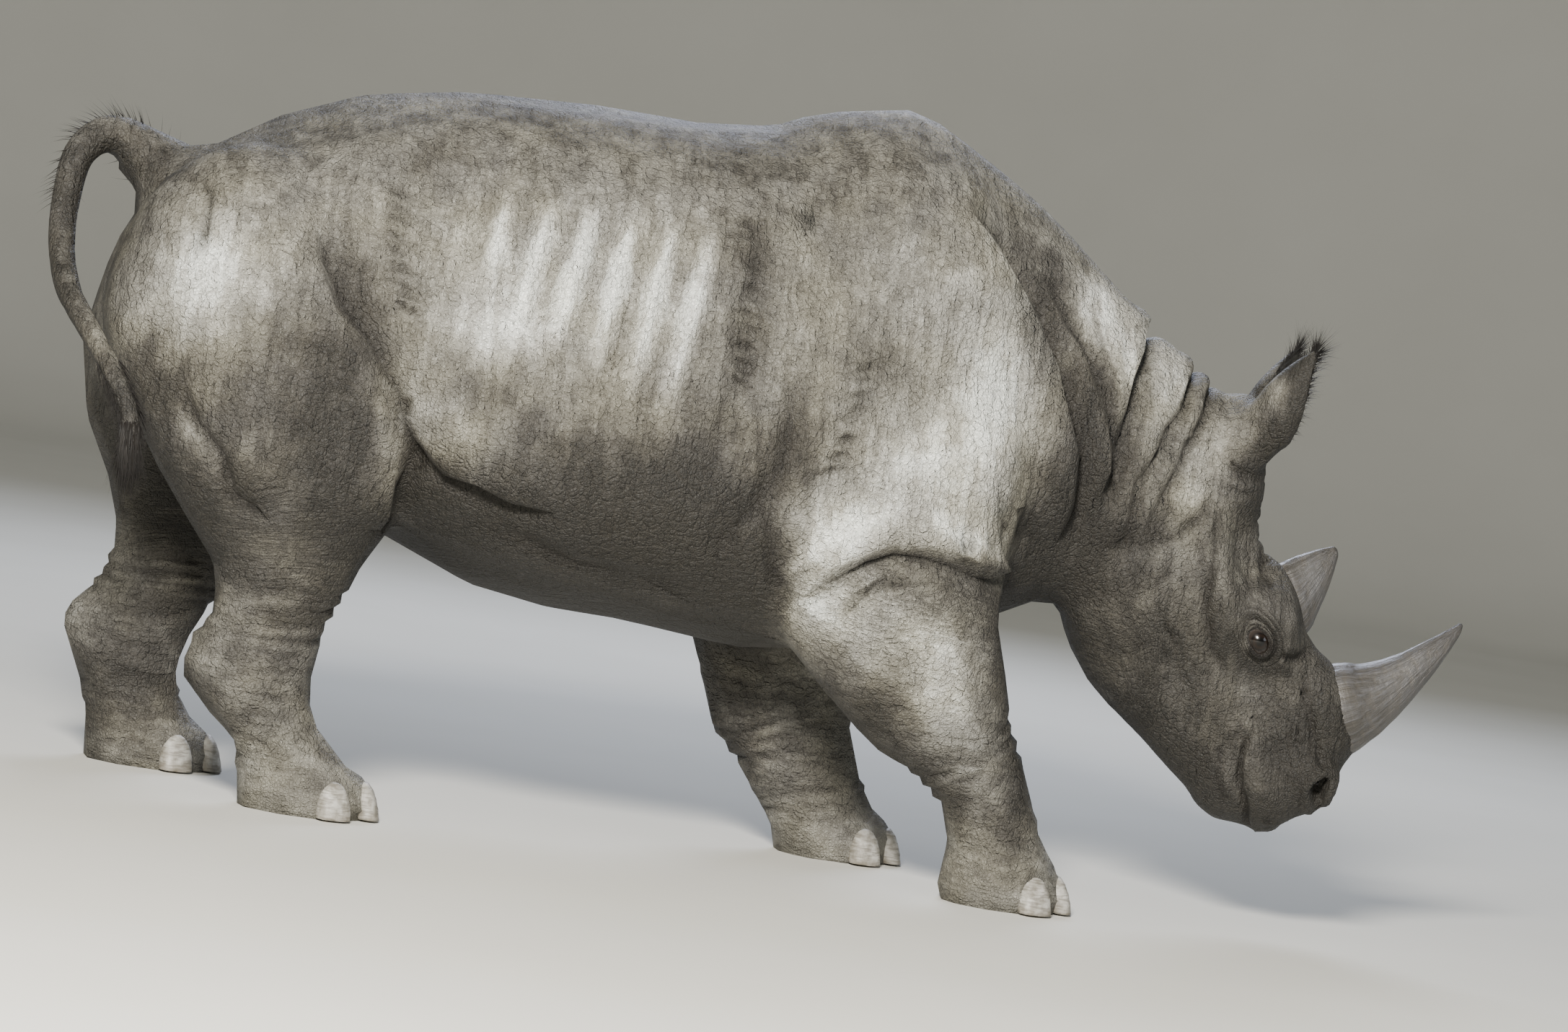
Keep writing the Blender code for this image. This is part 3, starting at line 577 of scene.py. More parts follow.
# folds drawn on the side view as (x, z), in metres. A lap above 0 lies to the left of the way its path runs
folds = {
    "shoulderFront": dict(width=0.018, depth=0.026, lap=-0.042, spread=0.11, endFade=0.12, path=[
        (0.29, 1.37), (0.39, 1.237), (0.466, 1.143), (0.537, 1.032), (0.583, 0.917), (0.6, 0.8), (0.59, 0.7)
    ]),
    "neckSecond": dict(width=0.012, depth=0.017, lap=-0.02, spread=0.045, path=[
        (0.455, 1.26), (0.51, 1.17), (0.575, 1.08), (0.63, 0.98), (0.66, 0.88), (0.655, 0.78)
    ]),
    "neckThird": dict(width=0.016, depth=0.026, lap=-0.028, spread=0.05, startFade=0.02, over=True, path=[
        (0.8, 1.3), (0.755, 1.2), (0.715, 1.11), (0.69, 1.02), (0.675, 0.93), (0.67, 0.85), (0.675, 0.76)
    ]),
    "neckFourth": dict(width=0.012, depth=0.02, lap=-0.022, spread=0.035, startFade=0.02, over=True, path=[
        (0.89, 1.2), (0.84, 1.12), (0.79, 1.01), (0.755, 0.93), (0.72, 0.84), (0.71, 0.75), (0.705, 0.66)
    ]),
    "neckFifth": dict(width=0.01, depth=0.014, lap=-0.014, spread=0.03, startFade=0.04, over=True, path=[
        (0.91, 1.14), (0.865, 1.06), (0.825, 0.96), (0.785, 0.87), (0.755, 0.78), (0.745, 0.69)
    ]),
    "throat": dict(width=0.012, depth=0.012, welt=0.004, over=True, path=[
        (0.8, 0.83), (0.765, 0.74), (0.755, 0.66), (0.75, 0.6)
    ]),
    "behindShoulder": dict(width=0.04, depth=0.02, startFade=0.35, dark=0.45, path=[
        (-0.07, 1.33), (-0.09, 1.19), (-0.1, 1.06), (-0.105, 0.93), (-0.13, 0.81), (-0.19, 0.7)
    ]),
    "armpit": dict(width=0.015, depth=0.018, lap=0.022, spread=0.045, path=[
        (-0.025, 0.97), (-0.005, 0.86), (-0.02, 0.76), (-0.07, 0.66), (-0.12, 0.6)
    ]),
    "underBelly": dict(width=0.02, depth=0.006, lap=0.005, spread=0.05, path=[
        (-0.55, 0.6), (-0.4, 0.56), (-0.22, 0.53), (-0.05, 0.53)
    ]),
    "rumpSeam": dict(width=0.012, depth=0.007, lap=0.005, spread=0.03, path=[
        (-1.16, 1.17), (-1.13, 1.12), (-1.13, 1.06), (-1.15, 1.0)
    ]),
}
rightFolds = {
    "flank": dict(width=0.019, depth=0.026, lap=-0.04, spread=0.09, endFade=0.1, path=[
        (-0.935, 1.13), (-0.9, 1.05), (-0.86, 0.977), (-0.79, 0.885), (-0.725, 0.792), (-0.693, 0.707),
        (-0.7, 0.61), (-0.715, 0.54)
    ]),
    "flankSecond": dict(width=0.014, depth=0.015, lap=0.03, spread=0.055, startFade=0.1, path=[
        (-0.735, 0.8), (-0.7, 0.73), (-0.64, 0.68), (-0.56, 0.65), (-0.48, 0.635), (-0.4, 0.625)
    ]),
    "elbowFlap": dict(width=0.014, depth=0.022, lap=0.042, spread=0.075, endFade=0.08, path=[
        (0.085, 0.53), (0.13, 0.59), (0.19, 0.638), (0.27, 0.655), (0.36, 0.64), (0.43, 0.625), (0.47, 0.64)
    ]),
    "elbowSecond": dict(width=0.01, depth=0.007, welt=0.002, path=[
        (0.13, 0.515), (0.18, 0.57), (0.24, 0.6), (0.31, 0.6)
    ]),
    "elbowBack": dict(width=0.014, depth=0.01, lap=-0.008, spread=0.04, path=[
        (-0.03, 0.74), (-0.012, 0.66), (0.02, 0.58), (0.065, 0.5)
    ]),
    "thigh": dict(width=0.012, depth=0.013, lap=0.015, spread=0.05, path=[
        (-1.15, 0.8), (-1.11, 0.73), (-1.05, 0.66), (-1.0, 0.58), (-0.93, 0.555)
    ]),
}
leftFolds = {
    "flank": dict(width=0.019, depth=0.026, lap=-0.04, spread=0.09, endFade=0.1, path=[
        (-0.95, 1.13), (-0.92, 1.04), (-0.88, 0.96), (-0.83, 0.87), (-0.79, 0.77), (-0.785, 0.68),
        (-0.82, 0.59), (-0.86, 0.53)
    ]),
    "flankSecond": dict(width=0.014, depth=0.012, lap=0.018, spread=0.05, path=[
        (-0.84, 0.92), (-0.78, 0.83), (-0.71, 0.74), (-0.62, 0.67), (-0.5, 0.63)
    ]),
    "elbowFlap": dict(width=0.014, depth=0.022, lap=0.04, spread=0.075, endFade=0.08, path=[
        (0.0, 0.53), (0.04, 0.59), (0.11, 0.635), (0.19, 0.65), (0.28, 0.63), (0.35, 0.6)
    ]),
    "thigh": dict(width=0.012, depth=0.013, lap=0.015, spread=0.05, path=[
        (-1.24, 0.78), (-1.2, 0.71), (-1.15, 0.64), (-1.11, 0.57)
    ]),
}


def pressFold(fold, side, local=False):
    # drawn on the side view, or on the front of the face, or on the end of the muzzle
    source, normals = (clay.inHead, clay.headNormals) if local else (clay.points, clay.normals)
    plane = fold.get("plane", "side")
    axes, facingAxis = {"side": ([0, 2], 1), "front": ([0, 1], 2), "tip": ([1, 2], 0)}[plane]
    flat = source[:, axes]
    path = np.array(fold["path"])
    margin = 0.22 if "lap" in fold else 0.05
    low, high = path.min(axis=0) - margin, path.max(axis=0) + margin
    chosen = ((flat > low) & (flat < high)).all(axis=1)
    if side:
        chosen &= source[:, 1] * side > 0
    if not local:
        chosen &= clay.points[:, 0] < 0.93
    if plane != "side":
        chosen &= normals[:, facingAxis] > 0.1
    where = np.nonzero(chosen)[0]
    wander = 0.008 * noiseAt(clay.points[where], 0.07, 3.1)
    signed, share = alongPath(flat[where], fold["path"])
    move, dark, foldLightAndShade = foldProfile(signed + wander, share, fold)
    facing = 1 if fold.get("over") else smoothstep(0.05, 0.45, np.abs(normals[where, facingAxis]))
    clay.push(move * facing, where)
    # painted shade in the crease
    clay.darken(where, dark * facing * fold.get("dark", 1))
    # painted highlight and painted shadow beside the lap
    clay.foldLightAndShade[where] += foldLightAndShade * facing
    if "hatch" in fold:
        clay.hatched[where] = np.maximum(clay.hatched[where], smoothstep(0.02, 0.2, dark * facing))


# sets of finer wrinkles: each runs between its key lines, which have the same number of points
wrinkles = {
    "shoulderHatch": dict(count=12, width=0.008, depth=0.0065, hatch=True, keys=[
        [(-0.16, 1.23), (-0.085, 1.205)], [(-0.14, 1.07), (-0.06, 1.05)], [(-0.145, 0.93), (-0.07, 0.905)]
    ]),
    "flankHatch": dict(count=9, width=0.008, depth=0.006, hatch=True, keys=[
        [(-0.825, 1.2), (-0.755, 1.18)], [(-0.81, 1.08), (-0.735, 1.055)], [(-0.775, 0.98), (-0.7, 0.95)]
    ]),
    "breastHatch": dict(count=7, width=0.008, depth=0.006, hatch=True, keys=[
        [(0.35, 0.715), (0.365, 0.655)], [(0.43, 0.745), (0.44, 0.67)], [(0.52, 0.8), (0.515, 0.71)]
    ]),
    "armHatch": dict(count=8, width=0.008, depth=0.0055, hatch=True, keys=[
        [(0.1, 0.98), (0.155, 1.01)], [(0.085, 0.88), (0.14, 0.91)], [(0.055, 0.76), (0.11, 0.79)]
    ]),
    "neckLines": dict(count=5, width=0.006, depth=0.005, keys=[
        [(0.5, 1.2), (0.565, 1.09), (0.615, 0.97), (0.64, 0.86)],
        [(0.6, 1.22), (0.62, 1.11), (0.645, 0.98), (0.655, 0.86)],
        [(0.68, 1.2), (0.665, 1.1), (0.66, 0.99), (0.66, 0.87)]
    ]),
    "napeLines": dict(count=3, width=0.006, depth=0.005, over=True, keys=[
        [(0.77, 1.17), (0.735, 1.07), (0.71, 0.97), (0.69, 0.86)],
        [(0.845, 1.1), (0.8, 0.99), (0.76, 0.89), (0.735, 0.8)]
    ]),
    "thighLines": dict(count=4, width=0.006, depth=0.004, keys=[
        [(-1.14, 0.745), (-1.08, 0.67), (-1.03, 0.6)], [(-1.03, 0.72), (-0.98, 0.65), (-0.93, 0.6)]
    ]),
    "bellyLines": dict(count=4, width=0.007, depth=0.004, keys=[
        [(-0.62, 0.68), (-0.48, 0.62), (-0.32, 0.6)], [(-0.6, 0.6), (-0.42, 0.555), (-0.25, 0.54)]
    ]),
    "armpitFan": dict(count=4, width=0.006, depth=0.0045, keys=[
        [(-0.09, 0.9), (-0.05, 0.78), (-0.07, 0.66)], [(0.05, 0.9), (0.02, 0.78), (0.0, 0.66)]
    ]),
    "rumpLines": dict(count=4, width=0.006, depth=0.003, keys=[
        [(-1.2, 1.05), (-1.16, 1.0), (-1.1, 0.98)], [(-1.21, 0.9), (-1.17, 0.86), (-1.11, 0.85)]
    ]),
}
# the same on the head, in its own frame
faceWrinkles = {
    "noseFan": dict(count=8, width=0.0042, depth=0.0042, keys=[
        [(0.55, 0.0), (0.61, -0.035), (0.68, -0.06)], [(0.6, 0.008), (0.65, -0.014), (0.705, -0.034)],
        [(0.655, 0.018), (0.695, 0.008), (0.73, -0.002)]
    ]),
    "muzzleSide": dict(count=9, width=0.0045, depth=0.0022, keys=[
        [(0.545, -0.055), (0.545, -0.09), (0.535, -0.13)], [(0.6, -0.065), (0.608, -0.09), (0.612, -0.118)],
        [(0.7, -0.072), (0.702, -0.1), (0.706, -0.145)]
    ]),
    "templeFan": dict(count=5, width=0.0045, depth=0.0035, keys=[
        [(0.28, 0.035), (0.325, 0.008), (0.36, -0.012)], [(0.24, -0.055), (0.3, -0.055), (0.355, -0.05)]
    ]),
    "cheekLines": dict(count=5, width=0.006, depth=0.0034, keys=[
        [(0.2, -0.3), (0.33, -0.3), (0.48, -0.235)], [(0.25, -0.2), (0.36, -0.2), (0.5, -0.16)]
    ]),
    "throatLines": dict(count=5, width=0.009, depth=0.0036, keys=[
        [(0.04, -0.16), (0.05, -0.24), (0.09, -0.32)], [(0.15, -0.14), (0.165, -0.22), (0.2, -0.31)]
    ]),
    "chinLines": dict(count=3, width=0.0045, depth=0.0032, keys=[
        [(0.56, -0.185), (0.63, -0.2), (0.71, -0.2)], [(0.56, -0.215), (0.62, -0.235), (0.68, -0.235)]
    ]),
    "browAcross": dict(plane="front", count=6, width=0.005, depth=0.0035, keys=[
        [(0.15, -0.1), (0.14, 0), (0.15, 0.1)], [(0.27, -0.09), (0.285, 0), (0.27, 0.09)]
    ]),
    "crownAcross": dict(plane="front", count=3, width=0.006, depth=0.004, keys=[
        [(0.02, -0.1), (0.03, 0), (0.02, 0.1)], [(0.11, -0.1), (0.105, 0), (0.11, 0.1)]
    ]),
    "snoutAcross": dict(plane="tip", count=5, width=0.0045, depth=0.0032, keys=[
        [(-0.06, -0.015), (0, -0.005), (0.06, -0.015)], [(-0.06, -0.095), (0, -0.085), (0.06, -0.095)]
    ]),
    "lipDown": dict(plane="tip", count=8, width=0.0038, depth=0.0026, keys=[
        [(-0.075, -0.105), (-0.07, -0.15)], [(0.075, -0.105), (0.07, -0.15)]
    ]),
    "earFeet": dict(count=4, width=0.006, depth=0.0026, keys=[
        [(0.07, -0.01), (0.105, 0.015), (0.12, 0.05)], [(0.115, -0.04), (0.155, -0.01), (0.175, 0.03)]
    ]),
}


def pressFamily(family, local=False):
    keys = np.array(family["keys"])
    count, points = family["count"], keys.shape[1]
    rows = smoothPath(keys.reshape(len(keys), -1), 12)
    reach = np.linalg.norm(keys[0][-1] - keys[0][0])
    for i in range(count):
        at = (i + 0.5 + rng.uniform(-0.25, 0.25)) / count * (len(rows) - 1)
        path = rows[int(at)].reshape(points, 2).copy()
        path += np.array([[rng.gauss(0, 0.025 * reach) for axis in (0, 1)] for point in range(points)])
        ends = path[-1] - path[0]
        path[0] -= ends * rng.uniform(-0.15, 0.1)
        path[-1] += ends * rng.uniform(-0.15, 0.1)
        strength = rng.uniform(0.6, 1.15)
        wrinkle = {
            **family, "path": path, "depth": family["depth"] * strength, "welt": family["depth"] * 0.5,
            "startFade": 0.5, "endFade": 0.5, "dark": 0.8 if "hatch" in family else 0.35,
        }
        pressFold(wrinkle, 0, local)


for group, side in ((folds, 0), (rightFolds, -1), (leftFolds, 1)):  # a side of 0 is both
    for fold in group.values():
        pressFold(fold, side)
    clay.refresh()
for family in wrinkles.values():
    pressFamily(family)
clay.refresh()
print("folds pressed")

ribs = {"count": 7, "pitch": 0.077, "first": -0.668, "level": 1.12, "slant": 0.16, "bow": 0.1,
        "height": 0.018, "back": (-0.7, -0.62), "front": (-0.13, -0.2), "top": (1.25, 1.14), "floor": 0.8}


def raiseRibs():
    x, y, z = clay.points.T
    drop = ribs["level"] - z
    rest = x + ribs["slant"] * drop * (0.55 - x) - ribs["first"] + ribs["bow"] * drop**2
    window = smoothstep(*ribs["back"], x) * smoothstep(*ribs["front"], x)
    floor = ribs["floor"] + 0.24 * np.clip((-0.25 - x) / 0.45, 0, 1)
    window = window * smoothstep(floor, floor + 0.12, z) * smoothstep(*ribs["top"], z)
    phase = rest / ribs["pitch"]
    window = window * smoothstep(-0.6, 0.0, phase) * smoothstep(ribs["count"], ribs["count"] - 0.6, phase)
    wave = np.cos(phase * 2 * pi)
    window *= smoothstep(0.3, 0.7, np.abs(clay.normals[:, 1]))
    clay.push(window * (ribs["height"] * wave - 0.003))
    # painted shade between the ribs
    clay.creaseShade = np.maximum(clay.creaseShade, 0.3 * window * smoothstep(0.2, -1, wave))
    # painted highlight on each rib
    clay.rib = window * smoothstep(-0.2, 1, wave)


raiseRibs()

# rings of creases round the limbs
rings = {"width": 0.0075, "depth": 0.0058, "welt": 0.002, "height": 0.12}
ringRows = {  # how far they reach from the limb's middle, and their places along it
    "wrist": (0.2, (-0.045, -0.018, 0.01, 0.04)), "foreFoot": (0.17, (-0.012, 0.012)),
    "hock": (0.19, (-0.05, -0.022, 0.004, 0.032)), "hindFoot": (0.17, (-0.025, 0.0, 0.022)),
}
ringPlaces = [  # joint, middle, the way the limb runs
    ("wrist", (0.475, -0.245, 0.27), (0.55, 0, -0.85)), ("foreFoot", (0.545, -0.237, 0.13), (0.2, 0, -1)),
    ("wrist", (0.19, 0.245, 0.27), (0.4, 0, -0.9)), ("foreFoot", (0.265, 0.237, 0.13), (0.3, 0, -1)),
    ("hock", (-0.91, -0.24, 0.36), (0.05, 0, -1)), ("hindFoot", (-0.86, -0.237, 0.15), (0.5, 0, -1)),
    ("hock", (-1.12, 0.24, 0.36), (0.0, 0, -1)), ("hindFoot", (-1.11, 0.237, 0.15), (0.25, 0, -1)),
]


def pressRings():
    for joint, middle, way in ringPlaces:
        reach, rows = ringRows[joint]
        way = np.array(way) / np.linalg.norm(way)
        away = clay.points - np.array(middle)
        along = away @ way
        across = lengths(away - along[:, None] * way)
        where = np.nonzero((across < reach) & (np.abs(along) < rings["height"]))[0]
        wander = 0.012 * noiseAt(clay.points[where], 0.09, middle[0] * 9)
        strength = 0.6 + 0.5 * noiseAt(clay.points[where], 0.06, 5 + middle[1])
        edge = smoothstep(reach, reach - 0.03, across[where])
        for row in rows:
            s = along[where] + wander - row
            cut = bell(s / rings["width"])
            welt = bell((np.abs(s) - 0.014) / 0.009)
            clay.push((-rings["depth"] * cut + rings["welt"] * welt) * strength * edge, where)
            # painted shade in each ring
            clay.darken(where, np.clip(cut * strength * edge, 0, 1) * 0.9)


pressRings()
clay.refresh()
print("ribs and limb creases done")


def drawLids():
    clay.lidEdge = np.zeros(len(clay.points))
    tilt = radians(eye["tilt"])
    for side, sign in sides.items():
        centre, out = eyes[side]["centre"], eyes[side]["out"]
        away = clay.points - centre
        where = np.nonzero(lengths(away) < 0.14)[0]
        local = away[where] @ headTurn
        along = local[:, 0] * cos(tilt) + local[:, 2] * sin(tilt)
        up = -local[:, 0] * sin(tilt) + local[:, 2] * cos(tilt)
        outwards = away[where] @ out
        front = outwards > 0
        # the opening is an almond, with its upper edge heavier than its lower one
        high = np.where(up > 0, eye["halfHigh"], eye["halfHigh"] * 0.86)
        ring = np.hypot(along / eye["halfLong"], up / high)
        corner = np.clip(np.abs(along) / eye["halfLong"] - 0.8, 0, 1) * 0.8
        ring = ring + corner * (ring < 1.5)
        reach = lengths(away[where])
        direction = away[where] / reach[:, None]
        ball = eye["radius"]
        lidTop = ball + eye["lid"] * (1 + 0.45 * np.clip(up / 0.02, -1, 1))
        blend = smoothstep(2.5, 1.4, ring)
        target = reach * (1 - blend) + lidTop * blend
        # the lid's rounded rim, then furrows that follow it, deepest above the eye
        target = target + (eye["rim"] * bell((ring - 1.2) / 0.13)) * blend
        uneven = 0.1 * noiseAt(clay.points[where], 0.022, 6.0)
        for at, depth, above, below, shift in eyeFurrows:
            upper = smoothstep(-0.01, 0.012, up)
            share = below + (above - below) * upper
            past = np.hypot((along + 0.006 * shift) / eye["halfLong"], (up - 0.004 * shift) / high) + uneven
            furrow = bell((past - at) / 0.1) * share
            welt = bell((past - at - 0.26) / 0.17) * share
            target = target - depth * furrow + 0.5 * depth * welt
            # painted shade in each furrow
            clay.darken(where, furrow * 0.85 * front)
        inside = ring < 1
        target = np.where(inside, np.minimum(target, ball - eye["sink"]), target)
        moved = centre + direction * target[:, None]
        clay.points[where] = np.where(front[:, None], moved, clay.points[where])
        edge = bell((ring - 1.04) / 0.09) * front
        clay.lidEdge[where] = np.maximum(clay.lidEdge[where], edge)
        # painted shade over the skin inside the opening
        clay.darken(where, np.where(inside & front, 1.0, 0))


drawLids()
clay.refresh()
print("lids drawn")

nostril = {"at": (0.748, 0.0, -0.024), "long": 0.029, "high": 0.015, "turn": 35, "depth": 0.034,
           "rim": 0.0055, "furrow": 0.0028}


def openNostrils():
    turn = radians(nostril["turn"])
    for sign in sides.values():
        h = clay.inHead
        along = h[:, 0] - nostril["at"][0]
        up = h[:, 2] - nostril["at"][2]
        a = along * cos(turn) - up * sin(turn)
        b = along * sin(turn) + up * cos(turn)
        ring = np.hypot(a / nostril["long"], (b - 0.25 * np.abs(a)) / nostril["high"])
        where = np.nonzero((ring < 4) & (h[:, 1] * sign > 0.03) & (clay.headNormals[:, 1] * sign > 0.1))[0]
        r = ring[where]
        pit = smoothstep(1.25, 0.45, r)
        rim = bell((r - 1.65) / 0.42)
        clay.push(nostril["rim"] * rim, where)
        inwards = headTurn @ np.array((-0.45, -sign * 0.85, 0.25))
        clay.points[where] += pit[:, None] * nostril["depth"] * inwards
        # painted shade in the nostril's pit
        clay.darken(where, pit)
        furrow = bell((r - 2.5) / 0.25)
        clay.push(-nostril["furrow"] * furrow, where)
        # painted shade in the furrow round it
        clay.darken(where, 0.6 * furrow)


openNostrils()
clay.refresh()

nail = {"halfWidth": 0.037, "height": 0.064, "depth": 0.024, "tilt": -14, "middleWide": 1.25,
        "sideWide": 0.95, "cuticle": 0.0042, "groove": 0.003, "ground": 0.004}
toeTurns = {"inner": -62, "middle": 0, "outer": 62}
toes = [(limb, side, toe) for side in sides for limb in ("fore", "hind") for toe in toeTurns]


def nailPlace(limb, side, toe):
    low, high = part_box(f"nail_{limb}_{side}_{toe}")
    wide = nail["halfWidth"] * (nail["middleWide"] if toe == "middle" else nail["sideWide"])
    rotation = spin(toeTurns[toe] * sides[side], "Z") @ spin(nail["tilt"], "Y")
    lean = rotation.to_3x3() @ Vector((0, 0, 0.028))
    middle = (Vector(low) + Vector(high)) / 2 - lean
    middle.z = 0.012
    return Matrix.Translation(middle) @ rotation, wide


def seatNails():
    # a groove round each nail and a cuticle that rises over its edge
    for toe in toes:
        place, wide = nailPlace(*toe)
        away = clay.points - np.array(place.translation)
        where = np.nonzero(lengths(away) < 0.12)[0]
        local = away[where] @ np.array(place.to_3x3())
        ring = lengths(local / (nail["depth"], wide, nail["height"]))
        front = smoothstep(-0.3, 0.1, local[:, 0] / nail["depth"])
        rim = bell((ring - 1.34) / 0.16)
        groove = bell((ring - 1.08) / 0.1)
        clay.push((nail["cuticle"] * rim - nail["groove"] * groove) * front, where)
        # painted shade in the groove round the nail
        clay.darken(where, 0.8 * groove * front)


seatNails()
clay.refresh()

# folds of the face, drawn in the head's own frame
faceFolds = {
    "mouth": dict(width=0.0058, depth=0.014, lap=0.01, spread=0.024, endFade=0.02, startFade=0.1, path=[
        (0.6, -0.122), (0.625, -0.136), (0.66, -0.152), (0.7, -0.161), (0.75, -0.167), (0.8, -0.172),
        (0.84, -0.18)
    ]),
    "mouthCorner": dict(width=0.006, depth=0.005, welt=0.0022, startFade=0.5, endFade=0.5, dark=0.6, path=[
        (0.612, -0.096), (0.6, -0.116), (0.598, -0.14), (0.612, -0.16)
    ]),
    "lipBack": dict(width=0.005, depth=0.0035, welt=0.0015, startFade=0.5, endFade=0.5, dark=0.5, path=[
        (0.655, -0.105), (0.64, -0.125), (0.645, -0.14)
    ]),
    "chinWrinkle": dict(width=0.007, depth=0.004, welt=0.001, path=[
        (0.6, -0.18), (0.64, -0.195), (0.68, -0.2), (0.72, -0.195)
    ]),
    "bossUnder": dict(width=0.009, depth=0.007, lap=0.004, spread=0.02, path=[
        (0.5, 0.03), (0.54, 0.018), (0.59, 0.01), (0.64, 0.004), (0.69, 0.005), (0.72, 0.018)
    ]),
    "betweenHorns": dict(width=0.008, depth=0.006, welt=0.002, path=[
        (0.475, 0.055), (0.483, 0.03), (0.478, 0.0), (0.466, -0.015)
    ]),
    "behindRearHorn": dict(width=0.007, depth=0.005, welt=0.002, path=[
        (0.292, 0.045), (0.285, 0.022), (0.29, 0.0)
    ]),
    "browOne": dict(width=0.006, depth=0.0045, path=[
        (0.245, 0.03), (0.275, 0.012), (0.31, 0.002), (0.345, 0.012)
    ]),
    "cheekLine": dict(width=0.01, depth=0.006, lap=0.004, spread=0.02, path=[
        (0.14, -0.03), (0.22, -0.075), (0.31, -0.115), (0.4, -0.135), (0.48, -0.125)
    ]),
    "jawLine": dict(width=0.012, depth=0.008, lap=-0.008, spread=0.03, path=[
        (0.11, -0.34), (0.16, -0.26), (0.18, -0.18), (0.165, -0.1), (0.13, -0.04)
    ]),
    "jawSecond": dict(width=0.009, depth=0.005, welt=0.002, path=[
        (0.235, -0.355), (0.255, -0.29), (0.255, -0.22), (0.235, -0.16)
    ]),
    "jawThird": dict(width=0.008, depth=0.004, path=[
        (0.36, -0.345), (0.37, -0.3), (0.365, -0.25)
    ]),
    "earFoot": dict(width=0.01, depth=0.0055, welt=0.002, path=[
        (0.075, -0.005), (0.105, 0.02), (0.12, 0.05), (0.112, 0.08)
    ]),
}
for fold in faceFolds.values():
    pressFold(fold, 0, local=True)
clay.refresh()
for family in faceWrinkles.values():
    pressFamily(family, local=True)
clay.refresh()
print("face creased")


smallWrinkles = {  # depth, pitch and how far they wander
    "legs": (0.0022, 0.021, 0.03), "neck": (0.003, 0.03, 0.035), "snout": (0.0015, 0.013, 0.016),
    "body": (0.0014, 0.045, 0.06),
}


def pressSmallWrinkles():
    # short broken wrinkles where the hide bends: legs, throat, armpits, flanks, snout and lids
    x, y, z = clay.points.T
    h = clay.inHead
    isHead = smoothstep(0.78, 0.86, x)
    legs = smoothstep(0.62, 0.45, z) * (1 - isHead) * smoothstep(0.03, 0.08, z)
    neckPart = smoothstep(0.5, 0.6, x) * (1 - isHead)
    snout = isHead * smoothstep(0.45, 0.6, h[:, 0])
    for part, across, seed, (depth, pitch, warp) in (
        (legs, z + 0.12 * x, 1.0, smallWrinkles["legs"]),
        (neckPart, x - 0.3 * z, 2.0, smallWrinkles["neck"]),
        (snout, h[:, 2] + 0.35 * h[:, 0], 3.0, smallWrinkles["snout"]),
        ((1 - legs) * (1 - isHead) * (1 - neckPart), x - 0.15 * z, 4.0, smallWrinkles["body"]),
    ):
        strength = part * depth
        where = np.nonzero(strength > 0.0002)[0]
        wander = noiseAt(clay.points[where], pitch * 3.2, seed) * warp
        wander += noiseAt(clay.points[where], pitch * 1.1, seed + 9) * warp * 0.25
        phase = (across[where] + wander) / pitch
        line = np.abs(phase - np.round(phase)) * 2
        breaks = smoothstep(-0.15, 0.35, noiseAt(clay.points[where], pitch * 2.4, seed + 20))
        cut = bell(line / 0.3) * breaks
        clay.push(-strength[where] * cut, where)
        # painted shade in each wrinkle
        clay.darken(where, 0.45 * cut * strength[where] / strength.max())


pressSmallWrinkles()
# the soles stand flat on the floor
clay.points[clay.points[:, 2] < 0.007, 2] = 0.0
clay.refresh()
print("wrinkles pressed")


def insideEars():
    # 1 on the inner walls of the cups, whose faces look back at the ear's axis, where shade is painted
    inner = np.zeros(len(clay.points))
    for side, sign in sides.items():
        place = earPlace(sign)
        low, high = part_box("ear_" + side)
        near = ((clay.points > np.array(low) - 0.01) & (clay.points < np.array(high) + 0.01)).all(axis=1)
        where = np.nonzero(near)[0]
        turn = np.array(place.to_3x3())
        local = (clay.points[where] - np.array(place.translation)) @ turn
        normal = clay.normals[where] @ turn
        towards = -(local[:, 0] * normal[:, 0] + local[:, 1] * normal[:, 1])
        towards /= np.hypot(local[:, 0], local[:, 1]) + 1e-6
        up = local[:, 2] / earShape["length"]
        inner[where] = smoothstep(0.1, 0.5, towards) * smoothstep(0.02, 0.14, up)
    return inner


def finishSkin():
    mesh = clay.mesh
    setPoints(mesh, clay.points)
    up = clay.normals[:, 2]
    z = clay.points[:, 2]
    # painted shade in folds, pits and furrows
    setAttribute(mesh, "creaseShade", np.clip(clay.creaseShade, 0, 1))
    setAttribute(mesh, "lidEdge", clay.lidEdge)
    # painted highlight on the ribs
    setAttribute(mesh, "rib", clay.rib)
    # painted highlights on the fold laps and painted shadows beside them
    setAttribute(mesh, "foldLightAndShade", np.clip(clay.foldLightAndShade, -1, 1))
    # painted shade in the ears' cups
    setAttribute(mesh, "earCupShade", insideEars())
    setAttribute(mesh, "limb", smoothstep(0.62, 0.42, z) * (1 - smoothstep(0.74, 0.84, clay.points[:, 0])))
    triangles = sum(len(p.vertices) - 2 for p in mesh.polygons)
    if triangles > skin["triangles"]:
        # head, tail and hatching keep more of their faces than plain hide
        plain = 1 - 0.75 * smoothstep(0.74, 0.86, clay.points[:, 0])
        plain = plain * (1 - 0.85 * clay.tail) * (1 - 0.9 * clay.hatched)
        for e in eyes.values():
            plain *= smoothstep(0.065, 0.1, lengths(clay.points - e["centre"]))
        mesh = applied(
            mesh,
            ("SMOOTH", {"factor": 0.4, "iterations": 2, "vertex_group": "plain"}),
            ("DECIMATE", {"ratio": skin["triangles"] / triangles, "vertex_group": "plain",
                          "vertex_group_factor": 0.6}),
            groups={"plain": plain},
        )
    mesh.name = "skin"
    return smoothShaded(mesh)


skinMesh = finishSkin()
print("skin finished:", len(skinMesh.polygons), "faces")
